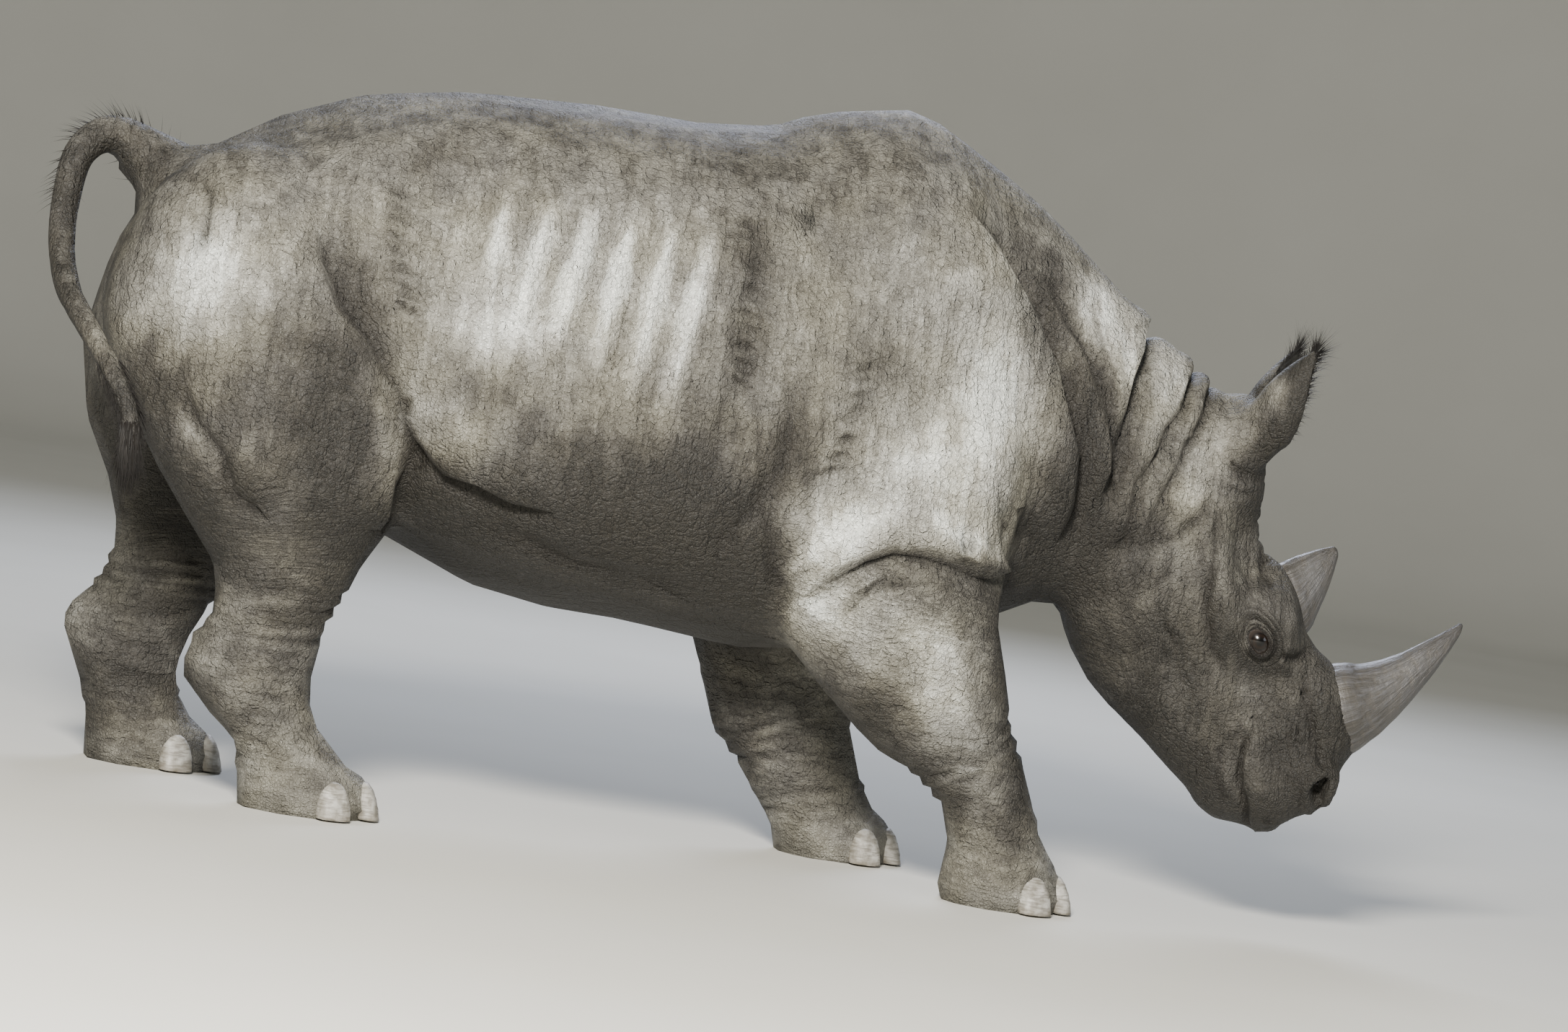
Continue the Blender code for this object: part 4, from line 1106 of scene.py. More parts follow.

# hide: thick, dry, hairless skin of a living animal, dusted with clay. It gives a matt surface cracked into
# small plates, with painted highlights on ribs, fold laps and tops and painted shade in folds and undersides
hide = {
    "plate": 0.017,  # metres across the large plates between cracks
    "pebble": 0.0062,
    "grain": 0.0028,  # finer in life, and drawn as coarse as it needs to be to show
    "wrinkle": 0.016,
    "cloud": 0.22,
    "mottle": 0.045,
    "tint": 0.13,
    "warp": 0.05,  # the plates are bent by this much, over this distance
    "warpReach": 0.018,
    "plateDepth": 0.0016,
    "pebbleDepth": 0.001,
    "grainDepth": 0.0005,
    "wrinkleDepth": 0.0022,
    "crackDark": 0.26,
    "creaseShadeDark": 0.88,
}


def makeHide():
    made, add, link = newMaterial("crackedHide", {"Roughness": 0.66, "Specular IOR Level": 0.42})
    place = add("TexCoord", output="Object")
    attribute = {
        name: add("Attribute", output="Fac", attribute_name=name)
        for name in ("toneAndPaintedLight", "creaseShade", "limb", "rib", "foldLightAndShade", "earCupShade", "lidEdge", "dustAndTopLight", "fine")
    }
    warp = add("TexNoise", {"Vector": place, "Scale": 1 / hide["warp"], "Detail": 2.0}, output="Color")
    warp = add("VectorMath", {0: warp, 1: (0.5, 0.5, 0.5)}, operation="SUBTRACT")
    bent = add("VectorMath", {0: warp, 1: (hide["warpReach"],) * 3, 2: place}, operation="MULTIPLY_ADD")
    plates = add("TexVoronoi", {"Vector": bent, "Scale": 1 / hide["plate"]}, feature="DISTANCE_TO_EDGE")
    plateTop = add("MapRange", {0: plates, 1: 0.0, 2: 0.16}, interpolation_type="SMOOTHSTEP")
    plateTop = add("Math", {0: plateTop, 1: attribute["fine"]}, operation="MAXIMUM")
    pebbles = add("TexVoronoi", {"Vector": bent, "Scale": 1 / hide["pebble"]}, feature="DISTANCE_TO_EDGE")
    pebbleTop = add("MapRange", {0: pebbles, 1: 0.0, 2: 0.22}, interpolation_type="SMOOTHSTEP")
    grain = add("TexNoise", {"Vector": place, "Scale": 1 / hide["grain"], "Detail": 2.0})

    # fine wrinkles stand upright on trunk and neck, and lie level on the limbs
    upright = add("Mapping", {"Vector": bent, "Scale": (1, 0.35, 0.13)})
    level = add("Mapping", {"Vector": bent, "Scale": (0.22, 0.22, 1)})
    way = add("Mix", {0: attribute["limb"], 4: upright, 5: level}, data_type="VECTOR")
    lines = add("TexNoise", {"Vector": way, "Scale": 1 / hide["wrinkle"], "Detail": 3.0, "Roughness": 0.6})
    lineTop = add("MapRange", {0: lines, 1: 0.36, 2: 0.6}, interpolation_type="SMOOTHSTEP")

    # colour runs from the tone that each region has, with its painted highlights and painted shade, clouded
    # and mottled, and painted highlights on ribs and beside fold laps
    cloud = add("TexNoise", {"Vector": place, "Scale": 1 / hide["cloud"], "Detail": 3.0})
    mottle = add("TexNoise", {"Vector": bent, "Scale": 1 / hide["mottle"], "Detail": 5.0, "Roughness": 0.65})
    shade = attribute["toneAndPaintedLight"]
    for source, middle, share in (
        (cloud, 0.5, 0.45), (mottle, 0.5, 0.55), (lineTop, 0, 0.1), (attribute["rib"], 0, 0.42),
        (attribute["foldLightAndShade"], 0, 0.26),
    ):
        centred = add("Math", {0: source, 1: middle}, operation="SUBTRACT")
        shade = add("Math", {0: centred, 1: share, 2: shade}, operation="MULTIPLY_ADD")
    ramp = add("ValToRGB", {0: shade}, output="Color", stops={
        0.0: "#22211d", 0.25: "#47453f", 0.5: "#77756b", 0.75: "#abaaa0", 1.0: "#e3e6e0"
    })
    tint = add(
        "TexNoise", {"Vector": place, "Scale": 1 / hide["tint"], "Detail": 2.0, "W": 3.0},
        noise_dimensions="4D",
    )
    tint = add("MapRange", {0: tint, 1: 0.38, 2: 0.62})
    tint = add("Mix", {0: tint, 6: "#8c8678", 7: "#84869a"}, data_type="RGBA")
    colour = add("Mix", {0: 0.35, 6: ramp, 7: tint}, data_type="RGBA", blend_type="SOFT_LIGHT")
    # pale dust, which is also painted light on the tops
    dustAndLitTops = add("Math", {0: attribute["dustAndTopLight"], 1: mottle}, operation="MULTIPLY")
    dustAndLitTops = add("MapRange", {0: dustAndLitTops, 1: 0.2, 2: 0.65, 4: 0.35})
    colour = add("Mix", {0: dustAndLitTops, 6: colour, 7: "#bcbab0"}, data_type="RGBA")
    cracks = add("Math", {0: plateTop, 1: pebbleTop}, operation="MULTIPLY")
    cracks = add("MapRange", {0: cracks, 1: 0.0, 2: 1.0, 3: hide["crackDark"], 4: 0.0})
    # painted shade in the folds
    foldShade = add("Math", {0: attribute["creaseShade"], 1: hide["creaseShadeDark"]}, operation="MULTIPLY")
    # painted shade in folds and in the ears' cups, over the hide's own dark cracks and lid edges
    for share, dark in (
        (cracks, "#3a352d"), (foldShade, "#1d1a15"), (attribute["earCupShade"], "#2a2520"),
        (attribute["lidEdge"], "#17130f"),
    ):
        colour = add("Mix", {0: share, 6: colour, 7: dark}, data_type="RGBA")
    link(colour, "Base Color")

    normal = add("Bump", {"Height": lineTop, "Distance": hide["wrinkleDepth"]})
    for height, depth in (
        (plateTop, hide["plateDepth"]), (pebbleTop, hide["pebbleDepth"]), (grain, hide["grainDepth"])
    ):
        normal = add("Bump", {"Height": height, "Distance": depth, "Normal": normal})
    link(normal, "Normal")
    return made


# horn: keratin, a mass of hair-like fibres grown together. Rubbed smooth and darker towards the tip, rough,
# pale and ringed towards the base. Its fibres are under 0.5 mm in life, and drawn coarser so that they show
hornLook = {
    "fibre": 0.003, "streak": 0.009, "ring": 0.016,
    "fibreDepth": 0.0014, "streakDepth": 0.0025, "ringDepth": 0.0018,
}


def makeHorn():
    made, add, link = newMaterial("keratinHorn", {"Roughness": 0.48, "IOR": 1.55, "Coat Weight": 0.05})
    fibre = add("Attribute", output="Vector", attribute_name="fibre")
    height = add("Attribute", output="Fac", attribute_name="height")
    stretch = add("Mapping", {"Vector": fibre, "Scale": (1, 1, 0.035)})
    fine = add(
        "TexNoise", {"Vector": stretch, "Scale": 1 / hornLook["fibre"], "Detail": 3.0, "Roughness": 0.6}
    )
    broad = add("TexNoise", {"Vector": stretch, "Scale": 1 / hornLook["streak"], "Detail": 2.0})
    level = add("Mapping", {"Vector": fibre, "Scale": (0.25, 0.25, 1)})
    ringed = add("TexNoise", {"Vector": level, "Scale": 1 / hornLook["ring"], "Detail": 3.0})
    colour = add("ValToRGB", {0: height}, output="Color", stops={
        0.0: "#2a2722", 0.2: "#383530", 0.55: "#444342", 0.85: "#32302d", 1.0: "#211f1d"
    })
    # pale streaks, then dark fibres, then darker rings
    for source, start, end, most, over in (
        (broad, 0.42, 0.66, 0.45, "#5c5c5f"), (fine, 0.55, 0.36, 0.65, "#34302a"),
        (ringed, 0.52, 0.4, 0.35, "#4a453d"),
    ):
        share = add("MapRange", {0: source, 1: start, 2: end, 4: most})
        colour = add("Mix", {0: share, 6: colour, 7: over}, data_type="RGBA")
    link(colour, "Base Color")
    normal = add("Bump", {"Height": broad, "Distance": hornLook["streakDepth"]})
    normal = add("Bump", {"Height": ringed, "Distance": hornLook["ringDepth"], "Normal": normal})
    normal = add("Bump", {"Height": fine, "Distance": hornLook["fibreDepth"], "Normal": normal})
    link(normal, "Normal")
    return made


# hoof nail: keratin in growth lines that run level, worn pale and scratched at the ground
nailLook = {"line": 0.004, "fibre": 0.003, "stain": 0.02, "lineDepth": 0.0012, "fibreDepth": 0.0006}


def makeNail():
    made, add, link = newMaterial("hoofNail", {"Roughness": 0.55, "IOR": 1.55})
    place = add("TexCoord", output="Object")
    level = add("Mapping", {"Vector": place, "Scale": (0.15, 0.15, 1)})
    lines = add("TexNoise", {"Vector": level, "Scale": 1 / nailLook["line"], "Detail": 2.0})
    upright = add("Mapping", {"Vector": place, "Scale": (1, 1, 0.08)})
    fibres = add("TexNoise", {"Vector": upright, "Scale": 1 / nailLook["fibre"], "Detail": 2.0})
    stain = add("TexNoise", {"Vector": place, "Scale": 1 / nailLook["stain"], "Detail": 3.0})
    low = add("SeparateXYZ", {0: place}, output="Z")
    colour = "#7b776d"
    # stained, then darker between the growth lines, then soiled at the ground
    for source, start, end, most, over in (
        (stain, 0.35, 0.65, 1.0, "#aeaca5"), (lines, 0.52, 0.38, 0.6, "#5f5a50"),
        (low, 0.022, 0.004, 0.55, "#6b6355"),
    ):
        share = add("MapRange", {0: source, 1: start, 2: end, 4: most})
        colour = add("Mix", {0: share, 6: colour, 7: over}, data_type="RGBA")
    link(colour, "Base Color")
    normal = add("Bump", {"Height": lines, "Distance": nailLook["lineDepth"]})
    normal = add("Bump", {"Height": fibres, "Distance": nailLook["fibreDepth"], "Normal": normal})
    link(normal, "Normal")
    return made


# eye: a wet ball, dark brown iris and a clear domed cornea, which takes one sharp light
def makeEye():
    made, add, link = newMaterial(
        "wetEye", {"Roughness": 0.25, "Specular IOR Level": 0.15, "Coat Weight": 0.6, "Coat Roughness": 0.03}
    )
    gaze = add("Attribute", output="Fac", attribute_name="gaze")
    ramp = add("ValToRGB", {0: gaze}, output="Color", stops={
        0.0: "#020202", 0.2: "#020202", 0.24: "#120b07", 0.38: "#1d130c",
        0.46: "#080605", 0.58: "#2a2420", 1.0: "#4a443f",
    })
    place = add("TexCoord", output="Object")
    threads = add("TexNoise", {"Vector": place, "Scale": 1 / eye["thread"], "Detail": 2.0})
    threads = add("MapRange", {0: threads, 1: 0.3, 2: 0.7, 3: 0.0, 4: 0.35})
    colour = add("Mix", {0: threads, 6: ramp, 7: "#0c0806"}, data_type="RGBA")
    link(colour, "Base Color")
    return made


# bristle: coarse black hair with a dull sheen, in strands that are browner
hair = {"strand": 0.012, "batch": 60, "bakePatch": 0.003}


def makeBristle():
    made, add, link = newMaterial("coarseBristle", {
        "Roughness": 0.55, "Specular IOR Level": 0.25, "Sheen Weight": 0.05, "Sheen Roughness": 0.5
    })
    place = add("TexCoord", output="Object")
    strands = add("TexNoise", {"Vector": place, "Scale": 1 / hair["strand"], "Detail": 2.0})
    colour = add("Mix", {0: strands, 6: "#080706", 7: "#1b1713"}, data_type="RGBA")
    link(colour, "Base Color")
    return made


# studio floor: one seamless matt sheet, faintly clouded
def makeFloor():
    made, add, link = newMaterial("paleStudioFloor", {"Roughness": 0.8, "Specular IOR Level": 0.2})
    place = add("TexCoord", output="Object")
    cloud = add("TexNoise", {"Vector": place, "Scale": studio["cloudScale"], "Detail": 3.0})
    colour = add("Mix", {0: cloud, 6: "#c9c8c0", 7: "#d3d2cb"}, data_type="RGBA")
    link(colour, "Base Color")
    return made


hideMaterial, hornMaterial, nailMaterial = makeHide(), makeHorn(), makeNail()
eyeMaterial, bristleMaterial = makeEye(), makeBristle()
print("materials made")

# tone of the hide by region on both sides, mostly painted highlights (above 0) and painted shade (below 0),
# with the hide's own darker parts: (x, z, half length, half height, change)
middleTone, headTone = 0.44, -0.24
sideTonesAndPaintedLight = [
    (-1.11, 0.99, 0.075, 0.115, 0.6),  # haunch
    (-1.15, 0.87, 0.035, 0.05, 0.24), (-1.02, 0.84, 0.09, 0.09, -0.2),
    (-1.17, 0.77, 0.055, 0.07, -0.34), (-1.09, 0.69, 0.05, 0.045, 0.34),
    (-0.93, 0.74, 0.1, 0.18, -0.32),
    (-1.05, 1.24, 0.24, 0.08, -0.16),  # rump
    (-1.21, 1.2, 0.07, 0.1, -0.34),
    (-0.46, 1.06, 0.24, 0.1, 0.34),  # ribs
    (-0.25, 1.08, 0.04, 0.07, 0.2), (-0.56, 0.95, 0.075, 0.06, 0.54),
    (-0.735, 0.86, 0.032, 0.07, 0.34),  # flap of the flank
    (-0.665, 0.775, 0.04, 0.045, 0.46), (-0.6, 0.73, 0.055, 0.035, 0.8),
    (-0.52, 0.685, 0.06, 0.028, 0.9), (-0.6, 0.84, 0.06, 0.04, -0.22),
    (-0.5, 0.785, 0.07, 0.045, -0.3),
    (-0.35, 1.4, 0.75, 0.12, -0.3),  # back
    (-0.35, 0.54, 0.5, 0.13, -0.76),  # belly
    (-0.37, 0.75, 0.13, 0.08, -0.42), (-0.18, 0.71, 0.13, 0.14, -0.56),
    (-0.8, 0.72, 0.045, 0.07, -0.26),
    (-0.72, 0.64, 0.03, 0.08, 0.36),  # front edge of the thigh
    (-0.845, 0.82, 0.06, 0.18, -0.72),
    (-0.1, 1.0, 0.045, 0.25, -0.26),  # behind the shoulder
    (-0.14, 1.21, 0.045, 0.09, -0.24), (0.01, 0.83, 0.038, 0.13, -0.46),
    (-0.105, 0.8, 0.028, 0.085, 0.62),  # flap of the armpit
    (0.38, 0.95, 0.07, 0.13, 0.72),  # shoulder
    (0.15, 1.03, 0.09, 0.09, -0.18), (0.26, 0.82, 0.095, 0.075, 0.6),
    (0.15, 0.7, 0.08, 0.06, 0.64),
    (0.09, 0.56, 0.065, 0.13, 1.2),  # elbow
    (0.2, 0.48, 0.07, 0.09, 0.74), (0.33, 0.7, 0.1, 0.035, 0.48),
    (0.43, 0.57, 0.06, 0.04, -0.4),
    (0.31, 0.5, 0.045, 0.06, 0.38),  # forearm
    (0.365, 0.41, 0.036, 0.085, 1.05), (0.49, 0.46, 0.04, 0.12, -0.34),
    (0.555, 0.24, 0.04, 0.15, -0.66),
    (0.44, 0.25, 0.05, 0.06, 0.26),  # knee
    (0.59, 1.16, 0.045, 0.06, 0.8),  # folds of the neck
    (0.655, 1.08, 0.035, 0.08, 0.46), (0.77, 1.06, 0.06, 0.08, 0.42),
    (0.48, 1.12, 0.042, 0.11, -0.42), (0.59, 0.82, 0.075, 0.22, -0.72),
    (0.71, 0.73, 0.06, 0.1, -0.34),
    (0.9, 1.03, 0.05, 0.06, 0.26),  # ear
    (1.0, 1.08, 0.034, 0.09, -0.56),
    (0.85, 0.93, 0.045, 0.07, 0.38),  # crest of the skull
    (0.82, 0.82, 0.028, 0.07, 0.3),
    (0.9, 0.71, 0.026, 0.085, 0.12),  # cheekbone
    (0.97, 0.89, 0.035, 0.08, -0.36),  # temple
    (1.14, 0.37, 0.09, 0.11, -0.52),  # muzzle
    (-0.9, 0.54, 0.04, 0.1, 0.38),  # shin
    (-0.87, 0.24, 0.06, 0.1, -0.26), (-1.1, 0.52, 0.1, 0.16, -0.34),
    (-1.37, 1.05, 0.08, 0.25, -0.58),  # tail
]
# the same on one side only, painted shade on the far legs and the tail's own darker end: (centre, radii,
# change)
oneSideTonesAndShade = [
    ((-1.12, 0.24, 0.16), (0.12, 0.14, 0.16), -0.44),  # far hind foot
    ((-1.24, -0.39, 0.74), (0.08, 0.05, 0.13), -0.4),  # end of the tail
    ((0.18, 0.24, 0.25), (0.12, 0.12, 0.2), -0.16),  # far foreleg
]


def paintSkin(mesh):
    points, normals = getPoints(mesh), getNormals(mesh)
    toneAndPaintedLight = np.full(len(points), middleTone)
    blobs = [((x, 0, z), (long, 0.9, high), change) for x, z, long, high, change in sideTonesAndPaintedLight]
    for centre, radii, change in blobs + oneSideTonesAndShade:
        toneAndPaintedLight += change * blob(points, centre, radii)
    h = inHead(points)
    ears = smoothstep(0.1, 0.14, h[:, 2]) * (h[:, 0] < 0.2) * (points[:, 0] > 0.8)
    # painted shade over the head, with the ears a little paler
    toneAndPaintedLight += smoothstep(0.74, 0.84, points[:, 0]) * (headTone * (1 - ears) + 0.1 * ears)
    tips = np.array(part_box("ear_right"))[1, 2] - 0.055
    toneAndPaintedLight -= 0.55 * ears * smoothstep(tips - 0.03, tips + 0.03, points[:, 2])
    # painted shade on faces that look down
    toneAndPaintedLight -= 0.42 * smoothstep(0.05, -0.65, normals[:, 2]) * smoothstep(0.08, 0.2, points[:, 2])
    setAttribute(mesh, "toneAndPaintedLight", toneAndPaintedLight)
    # 1 where the hide is too fine for large plates: lids, lips, nostrils, ears and toes
    fine = bell(lengths((h - (0.73, 0, -0.11)) / (0.1, 0.13, 0.08)), 4)
    for e in eyes.values():
        fine = np.maximum(fine, smoothstep(0.11, 0.055, lengths(points - e["centre"])))
    fine = np.maximum.reduce([fine, 0.8 * ears, smoothstep(0.1, 0.05, points[:, 2]) * 0.7])
    setAttribute(mesh, "fine", fine)
    # dust on the tops and at the feet, which also paints the tops lighter as if lit from above
    dustAndTopLight = smoothstep(-0.1, 0.8, normals[:, 2]) * 0.6 + 0.5 * smoothstep(0.12, 0.0, points[:, 2])
    dustAndTopLight *= 1 - 0.6 * smoothstep(0.78, 0.86, points[:, 0]) * (1 - ears)
    setAttribute(mesh, "dustAndTopLight", dustAndTopLight)


paintSkin(skinMesh)
newPiece("skin", skinMesh, hideMaterial, fleshNames)
print("skin painted")


# pieces beside the skin

def wrapGrid(columns, rows, shape):
    # a grid rolled round: shape(turn, along) gives a point, and the seam is closed
    bm = bmesh.new()
    bmesh.ops.create_grid(bm, x_segments=columns, y_segments=rows, size=1)
    for v in bm.verts:
        v.co = shape(pi * (v.co.x + 1), (v.co.y + 1) / 2)
    bmesh.ops.remove_doubles(bm, verts=bm.verts, dist=weldReach)
    closeUp(bm)
    return bm


# sections from root to tip in the head's frame: front edge, back edge and half width
horns = {
    "frontHorn": {
        "node": "horn_front",
        "rows": [(0.7, 0.03, 0.525, 0.04, 0.078), (0.706, 0.07, 0.529, 0.095, 0.08),
                 (0.69, 0.125, 0.545, 0.15, 0.06), (0.662, 0.182, 0.548, 0.205, 0.044),
                 (0.626, 0.24, 0.541, 0.258, 0.03), (0.585, 0.298, 0.534, 0.308, 0.017),
                 (0.54, 0.352, 0.524, 0.356, 0.006)],
        "length": 0.36, "ridges": 0.0022, "skirt": 0.006, "skirtTop": 0.3,
    },
    "rearHorn": {
        "node": "horn_rear",
        "rows": [(0.45, 0.02, 0.312, 0.01, 0.052), (0.452, 0.058, 0.306, 0.046, 0.052),
                 (0.418, 0.092, 0.302, 0.084, 0.036), (0.372, 0.13, 0.302, 0.126, 0.02),
                 (0.322, 0.164, 0.306, 0.162, 0.005)],
        "length": 0.16, "ridges": 0.0018, "skirt": 0.004, "skirtTop": 0.35,
    },
}
for name, horn in horns.items():
    line = smoothPath(horn["rows"], 12)
    columns, rows = ((120, 90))

    def hornPoint(turn, along, horn=horn, line=line):
        at = min(along ** 0.9, 1) * (len(line) - 1)
        i = min(int(at), len(line) - 2)
        x0, z0, x1, z1, halfWidth = line[i] + (at - i) * (line[i + 1] - line[i])
        middle = Vector(((x0 + x1) / 2, 0, (z0 + z1) / 2))
        half = Vector(((x0 - x1) / 2, 0, (z0 - z1) / 2))
        # fibres grown together in ridges, a rough spreading skirt and a rounded tip
        seed = Vector((cos(turn) * 2.2, sin(turn) * 2.2, along * 1.4 + horn["length"] * 9))
        ridge = noise.noise(seed * 2.2) + 0.6 * noise.noise(seed * 5.0)
        ringed = sin(along * 46 + 2.5 * noise.noise(seed)) * 0.35 * (1 - along)
        rough = max(0, 1 - along / horn["skirtTop"])
        size = half.length
        grow = horn["ridges"] * (ridge + ringed) * (0.35 + 0.65 * (1 - along)) + horn["skirt"] * rough**2
        grow += 0.8 * horn["ridges"] * rough * noise.noise(seed * 11)
        scale = (1 + grow / max(size, 0.012)) * sqrt(max(0.0, 1 - max(0, (along - 0.94) / 0.06) ** 2))
        # the back edge is the seam
        point = middle - half * cos(turn) * scale
        point.y = halfWidth * sin(turn) * scale
        return headMatrix @ point

    bm = wrapGrid(columns, rows, hornPoint)
    fibreLayer = bm.verts.layers.float_vector.new("fibre")
    heightLayer = bm.verts.layers.float.new("height")
    inverse = headMatrix.inverted()
    base, top = line[0], line[-1]
    for v in bm.verts:
        local = inverse @ v.co
        share = min(1, max(0, (local.z - base[1]) / (top[1] - base[1])))
        i = min(int(share * (len(line) - 1)), len(line) - 1)
        middle = (line[i][0] + line[i][2]) / 2
        v[heightLayer] = share
        # fibres keep their distance where the horn gets thin
        spread = 1 / (1 - 0.75 * share)
        v[fibreLayer] = ((local.x - middle) * spread, local.y * spread, share * horn["length"])
    newPiece(name, smoothShaded(meshFrom(bm, name)), hornMaterial, [horn["node"]])
print("horns made")

for side, sign in sides.items():
    centre, out = eyes[side]["centre"], Vector(eyes[side]["out"])
    bm = bmesh.new()
    turn = out.to_track_quat("Z", "Y").to_matrix().to_4x4()
    bmesh.ops.create_uvsphere(bm, u_segments=48, v_segments=40, radius=eye["radius"])
    gazeLayer = bm.verts.layers.float.new("gaze")
    for v in bm.verts:
        reach = hypot(v.co.x, v.co.y)
        front = v.co.z > 0
        v[gazeLayer] = reach / eye["radius"] if front else 1.0
        if front:
            v.co *= 1 + 0.05 * exp(-((reach / eye["cornea"]) ** 2))
    bmesh.ops.transform(bm, matrix=Matrix.Translation(centre) @ turn, verts=bm.verts)
    newPiece(side + "Eyeball", smoothShaded(meshFrom(bm, "eyeball")), eyeMaterial, ["eye_" + side])
print("eyes made")

for limb, side, toe in toes:
    place, wide = nailPlace(limb, side, toe)
    bm = bmesh.new()
    bmesh.ops.create_uvsphere(bm, u_segments=36, v_segments=28, radius=1)
    for v in bm.verts:
        # a shield with level growth ridges, squarer than a ball
        x, y, z = v.co
        ridge = 0.018 * sin(z * 21 + 2 * y)
        ridge += 0.03 * noise.noise(Vector((x, y * 2, z * 5)) + place.translation * 9)
        v.co = Vector((
            nail["depth"] * (copysign(abs(x) ** 0.8, x) * 0.97 + ridge),
            wide * copysign(abs(y) ** 0.85, y) * (0.96 + 0.06 * max(0, -z)),
            nail["height"] * z * 0.97,
        ))
    bmesh.ops.transform(bm, matrix=place, verts=bm.verts)
    cutOff(bm, (0, 0, nail["ground"]), (0, 0, -1))
    closeUp(bm)
    name = limb + side.title() + toe.title() + "Nail"
    newPiece(name, smoothShaded(meshFrom(bm, name)), nailMaterial, [f"nail_{limb}_{side}_{toe}"])
print("nails made")


# hair: a rhinoceros has it on the ears' edges, the lids and the tail only, as single coarse bristles

def unwrapSkin():
    # a light copy of the skin unwrapped on its own shape, which tells each hair its place for baking
    simple = applied(skinMesh.copy(), ("DECIMATE", {"ratio": 7000 / len(skinMesh.polygons)}))
    carrier = addObject("unwrap", simple)
    bpy.context.view_layer.objects.active = carrier
    bpy.ops.object.mode_set(mode="EDIT")
    bpy.ops.mesh.select_all(action="SELECT")
    bpy.ops.uv.smart_project(angle_limit=radians(66), island_margin=0.002)
    bpy.ops.object.mode_set(mode="OBJECT")
    bm = bmesh.new()
    bm.from_mesh(simple)
    bmesh.ops.triangulate(bm, faces=bm.faces)
    layer = bm.loops.layers.uv.active
    tree = BVHTree.FromBMesh(bm)
    corners = [
        ([loop.vert.co.copy() for loop in face.loops], [loop[layer].uv.to_3d() for loop in face.loops])
        for face in bm.faces
    ]
    bm.free()
    bpy.data.objects.remove(carrier)
    return tree, corners


skinTree, skinCorners = unwrapSkin()


def bakePlace(point):
    spot, _, index, _ = skinTree.find_nearest(point)
    (a, b, c), (u, v, w) = skinCorners[index]
    return geometry.barycentric_transform(spot, a, b, c, u, v, w).xy


def bristleShape():
    # one hair from 0 to 1 along Z, four-sided and tapered to a point
    bm = bmesh.new()
    bmesh.ops.create_cone(
        bm, cap_ends=True, segments=4, radius1=1, radius2=0.1, depth=1, matrix=Matrix.Translation((0, 0, 0.5))
    )
    long = [e for e in bm.edges if abs(e.verts[0].co.z - e.verts[1].co.z) > 0.5]
    bmesh.ops.subdivide_edges(bm, edges=long, cuts=4, use_grid_fill=True)
    layer = bm.loops.layers.uv.new("OFBake")
    size = hair["bakePatch"]
    for face in bm.faces:
        for loop in face.loops:
            loop[layer].uv = (0.5 * size * loop.vert.co.x, size * (loop.vert.co.z - 0.5))
    return meshFrom(bm, "bristleShape")


bristle = bristleShape()


def growHairs(name, hairs, nodes=()):
    # each hair is (root, way, length, radius, bend), and bend is how far its tip is carried aside. They are
    # made in batches, because a small bmesh is quicker to add to
    whole = bmesh.new()
    for start in range(0, len(hairs), hair["batch"]):
        bm = bmesh.new()
        layer = bm.loops.layers.uv.new("OFBake")
        for root, way, length, radius, bend in hairs[start:start + hair["batch"]]:
            firstVert, firstFace = len(bm.verts), len(bm.faces)
            bm.from_mesh(bristle)
            bm.verts.ensure_lookup_table()
            bm.faces.ensure_lookup_table()
            turn = way.to_track_quat("Z", "Y").to_matrix()
            patch = bakePlace(root)
            for v in bm.verts[firstVert:]:
                along = v.co.z
                thick = radius * (1 - 0.85 * along**1.5)
                v.co = (
                    root + turn @ Vector((v.co.x * thick, v.co.y * thick, along * length))
                    + bend * along**2
                )
            for face in bm.faces[firstFace:]:
                for loop in face.loops:
                    loop[layer].uv += patch
        pour(bm, whole)
    newPiece(name, smoothShaded(meshFrom(whole, name)), bristleMaterial, nodes)


def scatter(amount):
    return Vector([rng.gauss(0, amount) for axis in range(3)])


fringe = {"count": 420, "length": 0.068, "radius": 0.0007, "from": 0.3, "turn": 40, "mess": 0.22}


def earRim(edge, up):
    # the rolled leaf's edge, on its own axis
    fullness = sin(pi * min(1, 0.22 + 0.78 * up) ** 0.85) ** 0.75
    width = earShape["halfWidth"] * (0.28 + 0.72 * fullness) * (1 - up**5 * 0.8)
    roll = radians(148 - 72 * up**0.6) * edge
    return Vector((
        width * cos(roll) * 0.78 - width * 0.35, width * sin(roll), earShape["length"] * (up - 0.14)
    ))


for side, sign in sides.items():
    place = earPlace(sign) @ spin(180 - sign * fringe["turn"], "Z")
    hairs = []
    for i in range(fringe["count"]):
        up = 1 - (1 - fringe["from"]) * rng.random() ** 2.2
        edge = rng.choice((-1, 1)) * rng.uniform(0.93, 1.0)
        if up > 0.97:
            edge = rng.uniform(-1, 1)
        rim = earRim(edge, min(up, 0.995))
        away = Vector((rim.x * 0.4, rim.y, 0)).normalized() * (0.75 - 0.3 * up)
        away.z += 0.35 + 0.65 * up
        way = (place.to_3x3() @ (away + scatter(fringe["mess"]))).normalized()
        length = fringe["length"] * (0.25 + 0.75 * up**3) * rng.uniform(0.5, 1.1)
        bend = scatter(0.006) + Vector((0, 0, -0.004))
        hairs.append((place @ rim - way * 0.003, way, length, fringe["radius"], bend))
    growHairs(side + "EarFringe", hairs)

